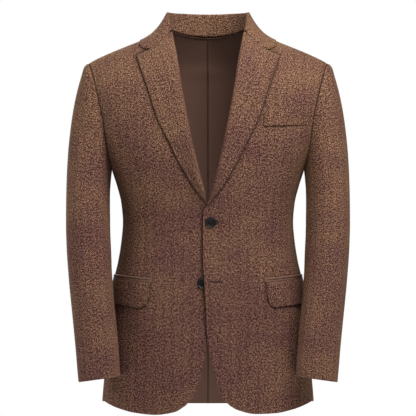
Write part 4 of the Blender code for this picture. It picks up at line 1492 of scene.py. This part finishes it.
@dataclass
class Lapel:
    """A notch lapel, folded back along the roll line."""

    form: BodyForm
    gorge_z: float = 14.0
    roll_end_z: float = -319.0
    taper: float = 34.0
    end_height: tuple[float, float] = (0.45, 0.12)
    gorge_cover: float = 1.8
    rows: int = 76
    columns: int = 36
    roll_softness: float = 0.55

    def patch(self, lap: float) -> Patch:
        """The lapel as if on the left."""
        z = np.linspace(self.gorge_z, self.roll_end_z, 60)
        roll = even_steps(np.stack([ROLL_LINE("x", z), z], axis=-1), self.rows)
        edge = even_steps(LAPEL_EDGE, self.rows)
        down = np.gradient(roll, axis=0)
        out = unit(np.stack([-down[:, 1], down[:, 0]], axis=-1))
        out = out * np.sign(out[:, :1])
        width = np.linalg.norm(edge - roll, axis=-1, keepdims=True)
        way = (edge - roll) / width
        scale = np.minimum(1.0, width / 16)
        share_down = np.linspace(0, 1, self.rows)
        soft = 1 + self.roll_softness * smooth_step((share_down - 0.35) / 0.4)
        end = self.end_height[0 if lap > 0 else 1]
        flat = end + (1 - end) * smooth_step((roll[:, 1] - roll[-1, 1]) / self.taper)
        places, lifts = [], []
        for reach, lift in LAPEL_FOLD:
            step = out * reach * flat[:, None] if reach < 0 else way * reach * scale
            places.append(roll + step)
            lifts.append(lift * flat * (soft if lift > 4 else 1.0))
        turned = LAPEL_FOLD[-1][0] * scale
        for share, lift in LAPEL_REACH:
            places.append(roll + way * (turned + (width - turned) * share))
            lifts.append(lift * flat * (1 + (soft - 1) * (1 - share)))
        places, lifts = np.stack(places, axis=1), np.stack(lifts, axis=1)
        peak = float(np.dot(NOTCH - roll[0], way[0]))
        bend = NOTCH - (roll[0] + way[0] * peak)
        coarse = np.concatenate([places, lifts[..., None]], axis=-1)
        fine = finer(coarse, self.rows, self.columns)
        along = (fine[..., :2] - roll[:, None]) @ way[0]
        kink = np.where(along < peak, along / peak, (width[0, 0] - along) / (width[0, 0] - peak))
        fade = np.clip(1 - share_down / 0.12, 0, 1)[:, None]
        shift = np.clip(kink, 0, 1) * fade
        cover = np.clip(1 - along / peak, 0, 1) * fade * self.gorge_cover
        fine[..., :2] += shift[..., None] * bend + cover[..., None] * np.array((0.6, 0.8))
        x, z, lift = fine[..., 0], fine[..., 1], fine[..., 2]
        points = self.form.seen(x, z, lift, lap)
        outward = unit(np.cross(np.gradient(points, axis=0), np.gradient(points, axis=1)))
        if outward[self.rows // 2, -3, 1] > 0:
            outward = -outward
        from_edge, down_run = run_along(points, 1), run_along(points, 0)
        cloth = np.stack([from_edge[:, -1:] - from_edge + 3.0, -down_run], axis=-1)
        edges = {"top": Edge.SEWN, "first": Edge.TUCKED, "bottom": Edge.TUCKED}
        # The painted seam shade of the top edge is kept only near the notch.
        beyond = np.broadcast_to(np.abs(along[0] - peak + 4.0) > 5.0, along.shape)
        return Patch.pressed(points, cloth, outward, edges, 0.2, unshaded=beyond)

    def build(self, pieces: Pieces) -> None:
        """Make both lapels."""
        pieces.sheet("lapel_left", self.patch(1.0), (95, 350))
        right = self.patch(-1.0).mirrored()
        pieces.sheet("lapel_right", right, (95, 350))


@dataclass
class Collar:
    """The stand and fall of the collar, one folded band round the neck."""

    form: BodyForm
    fold_radius: float = 2.3
    stand_in: float = 1.0
    stand_start: float = 1.2
    end_start: float = 0.6
    edge_lift: float = 2.5
    settle: float = 1.9
    to_lapel: tuple[float, ...] = (3.5, 4.0, 3.7, 3.0, 2.5, 1.1, 0.7)
    fall_curve: float = 2.6
    notch_share: float = 0.6394
    shares: tuple[float, ...] = (0.09, 0.2, 0.36, 0.52, 0.6394, 0.82, 1.0)
    rows: int = 150
    columns: int = 56

    def section(self, station: Sequence[Any], notch: float, seen: float) -> Grid:
        """The folded cloth at one place round the neck.

        Args:
            station: a row of the stations' table.
            notch: how much of the notch's bend is in this section.
            seen: how much of the fall is placed by where the cloth itself is seen.

        Returns:
            Points up the stand, over the fold and down the fall.
        """
        neck_x, neck_z, edge_x, edge_z, front, rise, tilt = station
        form, r = self.form, self.fold_radius
        neck, edge = np.array((neck_x, neck_z), float), np.array((edge_x, edge_z), float)
        bend = NOTCH - (neck + (edge - neck) * self.notch_share)
        base = form.place(neck_x, neck_z, 0.0, front)
        normal = form.normal(form.angle(neck_x, neck_z, front), neck_z)
        up = unit(np.array((0, 0, 1.0)) * (1 - tilt) + normal * tilt)
        out = form.place(edge_x, edge_z, 0.0, front) - base
        out = unit(out - up * np.dot(out, up))
        low = self.end_start * tilt + self.stand_start * (1 - tilt)
        stand = base - out * self.stand_in
        line = [stand + up * (low + (rise - r - low) * share) for share in (0.0, 0.5, 1.0)]
        middle = base + up * (rise - r) + out * (r - self.stand_in)
        for turn in (135, 90, 45):
            a = math.radians(turn)
            line.append(middle + out * r * math.cos(a) + up * r * math.sin(a))
        for share, more in zip(self.shares, self.to_lapel):
            kink = share / self.notch_share
            if share > self.notch_share:
                kink = (1 - share) / (1 - self.notch_share)
            place = neck + (edge - neck) * share + bend * kink * notch
            if share > self.notch_share:
                place = place + np.array((-0.2, -3.4)) * notch * 4 * kink * (1 - kink)
            fade = (1 - share) ** self.fall_curve
            settled = self.settle * math.exp(-(((rise - 30) / 5) ** 2))
            lift = (self.edge_lift - settled) * (1 - fade) + more * seen
            point = form.place(place[0], place[1], lift, front)
            if front:
                point = point + (form.seen(place[0], place[1], lift) - point) * seen
            line.append(point + (up * (rise - r) + out * (2 * r - self.stand_in)) * fade)
        return np.array(line)

    def build(self, pieces: Pieces) -> None:
        """Make the collar."""
        last = len(COLLAR_STATIONS) - 1
        half = np.array(
            [
                self.section(row, max(0.0, 1 - (last - i) / 3), max(0.0, 1 - (last - i) / 6))
                for i, row in enumerate(COLLAR_STATIONS)
            ]
        )
        coarse = np.concatenate([half[:0:-1] * np.array((-1.0, 1, 1)), half])
        points = finer(coarse, self.rows, self.columns)
        outward = unit(np.cross(np.gradient(points, axis=0), np.gradient(points, axis=1)))
        if outward[self.rows // 2, -1, 1] < 0:
            outward = -outward
        round_it, across = run_along(points, 0), run_along(points, 1)
        middle = round_it[self.rows // 2, -1]
        cloth = np.stack([round_it - middle, -across], axis=-1)
        edges = {"top": Edge.SEWN, "bottom": Edge.SEWN, "first": Edge.SEWN}
        # The collar's ends get no painted seam shade on the fall.
        beyond = across > across[:, [int(self.columns * 0.42)]]
        patch = Patch.pressed(points, cloth, outward, edges, 0.2, unshaded=beyond)
        pieces.sheet(
            "collar", patch, (430, 105), WALL, centred=True
        )


# ---------------------------------------------------------------- pockets


JET_TOP = [(110, -465), (146, -461.5), (184, -457.5)]
FLAP_TOP = [(110, -472), (146, -468.2), (184, -464.3)]
FLAP_BOTTOM = [(110, -523), (129, -521), (146, -518.5), (184, -512.5)]


@dataclass
class Pockets:
    """Hip pockets with flap and jetting band, and the breast welt."""

    form: BodyForm
    flap_front: float = 113.0
    jet_front: float = 110.5
    end_angle: float = 96.0
    corner: tuple[float, float] = (15.0, 27.0)
    crowding: float = 1.4
    rest: float = 0.6
    flap_flare: float = 1.6
    flap_wall: float = 2.0
    jet_wall: float = 1.2
    welt_wall: float = 1.6
    seam: float = 0.3

    def band(
        self,
        top: Sequence[Any],
        bottom: Sequence[Any],
        start_x: float,
        rows: int,
        corner: tuple[float, float] | None = None,
    ) -> Grid:
        """(angle, z) grid of a band between two lines in the front view, run on round the side."""
        top_line, bottom_line = Curve(("x", "z"), top), Curve(("x", "z"), bottom)
        start = float(self.form.angle(start_x, top[0][1]))
        steps = spread(140, 2.4) ** (self.crowding if corner else 1.0)
        angle = start + (self.end_angle - start) * steps
        x = np.minimum(self.form.point(np.minimum(angle, 89.0), top[0][1])[..., 0], top[-1][0])
        z_top, z_bottom = top_line("z", x), bottom_line("z", x)
        if corner:
            along, up = corner
            left = np.clip(1 - (x - start_x) / along, 0, 1)
            z_bottom = z_bottom + up * (1 - np.sqrt(1 - left**2))
        share = spread(50 if rows > 6 else 8, 50 / rows)[:, None]
        z = z_top + (z_bottom - z_top) * share
        return np.stack([np.broadcast_to(angle, z.shape), z], axis=-1)

    def laid(
        self, places: Grid, wall: float, air: tuple[float, float], lap: float, edges: dict[str, Edge]
    ) -> Patch:
        """Cloth that lies on a panel, with air under its first and last row."""
        angle, z = places[..., 0], places[..., 1]
        outward = self.form.normal(angle, z, lap)
        share = np.linspace(0, 1, len(places))[:, None]
        lift = (air[0] + (air[1] - air[0]) * share + wall)[..., None]
        points = self.form.point(angle, z, lap) + outward * lift
        cloth = np.stack([self.form.girth(angle, z, 0.0), z], axis=-1)
        return Patch.pressed(points, cloth, outward, edges, 0.7)

    def build(self, pieces: Pieces) -> None:
        """Make the hip pockets on both sides and the welt."""
        jet_bottom = [(x, z + self.seam) for x, z in FLAP_TOP]
        for side in Side:
            lap = float(side.value)
            jet = self.band(JET_TOP, jet_bottom, self.jet_front, 4)
            sewn = {"top": Edge.SEWN, "bottom": Edge.SEWN, "first": Edge.SEWN}
            jet_patch = self.laid(jet, self.jet_wall, (self.rest, self.rest), lap, sewn)
            flap = self.band(FLAP_TOP, FLAP_BOTTOM, self.flap_front, 14, self.corner)
            flap_patch = self.laid(
                flap, self.flap_wall, (self.rest, self.flap_flare), lap, {"top": Edge.SEWN}
            )
            if side is Side.RIGHT:
                jet_patch, flap_patch = jet_patch.mirrored(), flap_patch.mirrored()
            pieces.sheet(f"jet_{side.word}", jet_patch, (160, 14), self.jet_wall)
            pieces.sheet(f"flap_{side.word}", flap_patch, (160, 62), self.flap_wall)
        across, down = spread(81, 3.0), spread(25, 3.0)[:, None]
        x = 108.0 + 80.6 * across
        z_top, z_bottom = -144.0 + 3.0 * across, -170.0 + 4.0 * across
        z = z_top + (z_bottom - z_top) * down
        places = np.stack([self.form.angle(np.broadcast_to(x, z.shape), z), z], axis=-1)
        sewn = {"bottom": Edge.SEWN, "first": Edge.SEWN, "last": Edge.SEWN}
        welt = self.laid(places, self.welt_wall, (self.rest, self.rest), 1.0, sewn)
        pieces.sheet("breast_welt", welt, (100, 32), self.welt_wall)


# ---------------------------------------------------------------- buttons and buttonholes


@dataclass
class Button:
    """A four-hole button with a raised rim, sewn on with crossed thread."""

    form: BodyForm
    diameter: float = 21.0
    thickness: float = 2.7
    rest: float = 0.6
    rim: float = 2.1
    dish: float = 0.9
    hole: float = 1.9
    hole_spacing: float = 3.5
    thread: float = 0.75

    def seat(self, x: float, z: float, lap: float) -> Matrix:
        """The button's place: its back's middle and its axes, in metres."""
        side = 1.0 if lap > 0 else -1.0
        angle = float(self.form.angle(side * x, z))
        flip = np.array((side, 1.0, 1.0))
        normal = self.form.normal(angle, z, lap) * flip
        centre = self.form.point(angle, z, lap) * flip + normal * self.rest
        across = unit(np.cross((0, 0, 1.0), normal))
        up = np.cross(normal, across)
        seat = Matrix.Identity(4)
        for i in range(3):
            seat[i][0], seat[i][1], seat[i][2] = across[i], up[i], normal[i]
            seat[i][3] = centre[i] * MM
        return seat

    def disc(self, name: str) -> bpy.types.Object:
        """Turn the button's body with extrusions and cut its holes."""
        bpy.ops.object.select_all(action="DESELECT")
        radius = self.diameter / 2
        bpy.ops.mesh.primitive_circle_add(vertices=64, radius=radius * 0.80 * MM, fill_type="NGON")
        disc = bpy.context.active_object
        disc.name = name
        bpy.ops.object.mode_set(mode="EDIT")
        bpy.ops.mesh.select_all(action="SELECT")
        steps = [
            # radius, height
            (radius * 0.96, 0.5),
            (radius, 1.3),
            (radius * 0.985, self.thickness - 0.5),
            (radius * 0.94, self.thickness - 0.12),
            (radius * 0.87, self.thickness),
            (radius - self.rim, self.thickness - 0.15),
            (radius - self.rim - 0.7, self.thickness - self.dish * 0.8),
            (radius - self.rim - 1.5, self.thickness - self.dish),
        ]
        was_radius, was_height = radius * 0.80, 0.0
        for new_radius, new_height in steps:
            bpy.ops.mesh.extrude_region_move(
                TRANSFORM_OT_translate={"value": (0, 0, (new_height - was_height) * MM)}
            )
            share = new_radius / was_radius
            bpy.ops.transform.resize(value=(share, share, 1))
            was_radius, was_height = new_radius, new_height
        bpy.ops.mesh.select_all(action="SELECT")
        bpy.ops.mesh.normals_make_consistent(inside=False)
        bpy.ops.object.mode_set(mode="OBJECT")
        for k in range(4):
            a = math.pi / 4 + k * math.pi / 2
            x = math.cos(a) * self.hole_spacing / 2 * 1.3 * MM
            y = math.sin(a) * self.hole_spacing / 2 * 1.3 * MM
            bpy.ops.mesh.primitive_cylinder_add(
                vertices=20, radius=self.hole / 2 * MM, depth=10 * MM, location=(x, y, 0)
            )
            cutter = bpy.context.active_object
            bpy.ops.object.select_all(action="DESELECT")
            bpy.context.view_layer.objects.active = disc
            cut = disc.modifiers.new("hole", "BOOLEAN")
            cut.operation, cut.object = "DIFFERENCE", cutter
            bpy.ops.object.modifier_apply(modifier="hole")
            bpy.data.objects.remove(cutter)
        bpy.ops.object.select_all(action="DESELECT")
        disc.select_set(True)
        bpy.ops.object.shade_smooth_by_angle(angle=math.radians(35))
        return disc

    def crossed_thread(self, name: str) -> bpy.types.Object:
        """Two crossed bundles of thread over the button's face."""
        points, faces = [], []
        reach = self.hole_spacing / 2 * 1.3
        top = self.thickness - self.dish
        for turn in (45, 135):
            for off in (-0.34, 0.34):
                a = math.radians(turn)
                way = np.array((math.cos(a), math.sin(a), 0))
                side = np.array((-math.sin(a), math.cos(a), 0))
                start = len(points)
                steps = 12
                for i in range(steps + 1):
                    t = -1 + 2 * i / steps
                    height = top + 0.75 * (1 - t**4) - 1.6 * max(0.0, abs(t) - 0.86) * 8
                    middle = way * reach * t * 1.02 + side * off + np.array((0, 0, height))
                    for k in range(8):
                        b = 2 * math.pi * k / 8
                        ring = side * math.cos(b) + np.array((0, 0, 1.0)) * math.sin(b)
                        points.append(middle + ring * self.thread / 2)
                for i in range(steps):
                    for k in range(8):
                        low, high = start + i * 8, start + (i + 1) * 8
                        faces.append((low + k, low + (k + 1) % 8, high + (k + 1) % 8, high + k))
                faces.append(tuple(start + k for k in range(7, -1, -1)))
                faces.append(tuple(start + steps * 8 + k for k in range(8)))
        return mesh_object(name, points, faces)

    def build(self, word: str, place: tuple[float, float], lap: float, finishes: dict[str, Any]) -> None:
        """Make one button and its thread.

        Args:
            word: which button it is.
            place: its x and z.
            lap: 1 on the over front and -1 on the under front.
            finishes: the resin and the thread materials.
        """
        seat = self.seat(*place, lap)
        disc = self.disc(f"button_{word}_disc")
        disc.data.transform(seat)
        disc.data.materials.append(finishes["resin"])
        Pieces.declare(disc, f"button_{word}", "button")
        thread = self.crossed_thread(f"button_{word}_thread")
        thread.data.transform(seat)
        thread.data.materials.append(finishes["thread"])
        Pieces.declare(thread, None, "button")
        LOG.info("button %s: %d faces", word, len(disc.data.polygons))


def mesh_object(name: str, points: Sequence[Any], faces: Sequence[Any]) -> bpy.types.Object:
    """An object from points in millimetres, smooth-shaded with its faces outwards."""
    mesh = bpy.data.meshes.new(name)
    mesh.from_pydata([tuple(float(c) * MM for c in p) for p in points], [], faces)
    made = bpy.data.objects.new(name, mesh)
    bpy.context.scene.collection.objects.link(made)
    bpy.ops.object.select_all(action="DESELECT")
    made.select_set(True)
    bpy.context.view_layer.objects.active = made
    bpy.ops.object.mode_set(mode="EDIT")
    bpy.ops.mesh.select_all(action="SELECT")
    bpy.ops.mesh.normals_make_consistent(inside=False)
    bpy.ops.object.mode_set(mode="OBJECT")
    bpy.ops.object.shade_smooth_by_angle(angle=math.radians(50))
    return made


@dataclass
class Buttonhole:
    """A worked buttonhole: a ring of satin stitches round a dark slit."""

    form: BodyForm
    stitch_length: float = 1.9
    stitch_width: float = 0.55
    stitch_height: float = 0.55
    slit: float = 0.5

    def build(
        self,
        name: str,
        ends: tuple[tuple[float, float], tuple[float, float]],
        lift: float,
        lap: float,
        thread: bpy.types.Material,
    ) -> None:
        """Stitch one buttonhole.

        Args:
            name: the piece's name.
            ends: x and z of the slit's two ends.
            lift: how far the cloth's face lies above the body's surface there.
            lap: 1 on the over front and -1 on the under front.
            thread: the thread's material.
        """
        start, end = (np.array(p, float) for p in ends)
        length = float(np.linalg.norm(end - start))
        way = (end - start) / length
        side = np.array((-way[1], way[0]))
        points: list[Any] = []
        faces: list[Any] = []
        count = int(length / (self.stitch_width * 0.95))
        stitches = []
        for i in range(count + 1):
            middle = start + way * length * i / count
            stitches += [(middle, side), (middle, -side)]
        for i in range(1, 8):
            a = math.pi * i / 8
            stitches.append((end, side * math.cos(a) + way * math.sin(a)))
            stitches.append((start, side * math.cos(a) - way * math.sin(a)))
        for middle, out in stitches:
            along = np.array((-out[1], out[0]))
            base = len(points)
            rows = [(self.slit, 0.0, 0.5), (self.slit + 0.25, 1.0, 0.9)]
            rows += [(self.stitch_length - 0.3, 0.9, 0.9), (self.stitch_length, 0.0, 0.6)]
            for reach, height, broad in rows:
                for across in (-broad, broad):
                    x, z = middle + out * reach + along * across * self.stitch_width / 2
                    raised = lift + (self.stitch_height * height if height else -0.1)
                    points.append(self.form.place(x, z, raised, True, lap))
            for k in range(3):
                a = base + 2 * k
                faces.append((a, a + 1, a + 3, a + 2))
            faces.append((base, base + 6, base + 7, base + 1))
            faces.append((base, base + 2, base + 4, base + 6))
            faces.append((base + 1, base + 7, base + 5, base + 3))
        made = mesh_object(name, points, faces)
        made.data.materials.append(thread)
        Pieces.declare(made, None, "cloth")
        LOG.info("%s: %d stitches", name, len(stitches))


# ---------------------------------------------------------------- stage


@dataclass
class Studio:
    """Pale floor, soft light and the camera."""

    pixel: float = 1.95
    top_row: float = 40.0
    middle: float = 208.0
    pixels: int = 416
    distance: float = 30.0
    sensor: float = 36.0
    floor_z: float = -1.02
    floor_size: float = 7.0
    ambient: float = 0.11

    def build(self) -> None:
        """Set up the floor, the lights and the camera."""
        scene = bpy.context.scene
        scene.view_settings.view_transform = "Standard"
        world = bpy.data.worlds.new("studio")
        world.use_nodes = True
        tree = world.node_tree
        shown = tree.nodes["Background"]
        shown.inputs["Color"].default_value = (1.0, 1.0, 1.0, 1.0)
        glow = tree.nodes.new("ShaderNodeBackground")
        glow.inputs["Color"].default_value = (1.0, 0.99, 0.97, 1.0)
        glow.inputs["Strength"].default_value = self.ambient
        ray = tree.nodes.new("ShaderNodeLightPath")
        choice = tree.nodes.new("ShaderNodeMixShader")
        tree.links.new(ray.outputs["Is Camera Ray"], choice.inputs[0])
        tree.links.new(glow.outputs[0], choice.inputs[1])
        tree.links.new(shown.outputs[0], choice.inputs[2])
        tree.links.new(choice.outputs[0], tree.nodes["World Output"].inputs["Surface"])
        scene.world = world
        self.floor()
        self.light("key", (1.6, -1.6, 1.5), 1.0, 36.0)
        self.light("rim", (-2.2, -0.1, 0.5), 1.2, 20.0)
        self.light("top", (0.3, -0.85, 1.05), 0.8, 24.0)
        self.light("back", (-0.5, 2.6, 0.9), 1.6, 46.0)
        lens_data = bpy.data.cameras.new("front_view")
        lens_data.sensor_width = self.sensor
        width = self.pixels * self.pixel * MM
        lens_data.lens = self.sensor * self.distance / width
        lens_data.clip_start, lens_data.clip_end = 1.0, 1000.0
        camera = bpy.data.objects.new("front_view", lens_data)
        height = (self.top_row - self.middle) * self.pixel * MM
        camera.location = (0.0, -self.distance, height)
        camera.rotation_euler = (math.pi / 2, 0.0, 0.0)
        scene.collection.objects.link(camera)
        scene.camera = camera

    def floor(self) -> None:
        """A flat pale floor below the jacket."""
        bpy.ops.object.select_all(action="DESELECT")
        bpy.ops.mesh.primitive_plane_add(size=self.floor_size, location=(0, 0, self.floor_z))
        floor = bpy.context.active_object
        floor.name = "studio_floor"
        s = Shader("studio_floor", 0.85, Emission_Strength=0.2)
        s.principled.inputs["Emission Color"].default_value = paint(240, 240, 240)
        s.colour(s.blend(s.noise(s.object_place(), 3.0) * 0.15, paint(240, 240, 240), paint(228, 228, 228)))
        floor.data.materials.append(s.material)

    @staticmethod
    def light(name: str, place: tuple[float, float, float], size: float, power: float) -> None:
        """A square soft light that faces the jacket's middle."""
        data = bpy.data.lights.new(name, "AREA")
        data.shape, data.size, data.energy = "SQUARE", size, power
        lamp = bpy.data.objects.new(name, data)
        lamp.location = place
        aim = Vector((0.0, 0.0, -0.33)) - Vector(place)
        lamp.rotation_euler = aim.to_track_quat("-Z", "Y").to_euler()
        bpy.context.scene.collection.objects.link(lamp)


def main() -> None:
    """Build the jacket's looks piece by piece."""
    logging.basicConfig(level=logging.INFO, format="%(name)s: %(message)s")
    Studio().build()
    form = BodyForm()
    thread = SewingThread().dress("sewing_thread")
    finishes = {"resin": ButtonResin().dress("button_resin"), "thread": thread}
    pieces = Pieces(HerringboneWool().dress("herringbone_wool"), ClothReverse().dress("cloth_reverse"))
    Torso(form).build(pieces)
    Sleeve(form).build(pieces)
    Lapel(form).build(pieces)
    Collar(form).build(pieces)
    Pockets(form).build(pieces)
    button, buttonhole = Button(form), Buttonhole(form)
    button.build("upper", (6.0, -355.0), 1.0, finishes)
    button.build("lower", (-11.0, -474.0), -1.0, finishes)
    buttonhole.build("buttonhole_upper", ((2.0, -355.0), (22.0, -355.0)), 0.0, 1.0, thread)
    buttonhole.build("buttonhole_lower", ((4.0, -471.0), (27.0, -471.0)), 0.0, 1.0, thread)
    buttonhole.build("buttonhole_lapel", ((98.0, -37.0), (113.0, -49.0)), 3.7, 1.0, thread)


if __name__ == "__main__":
    main()
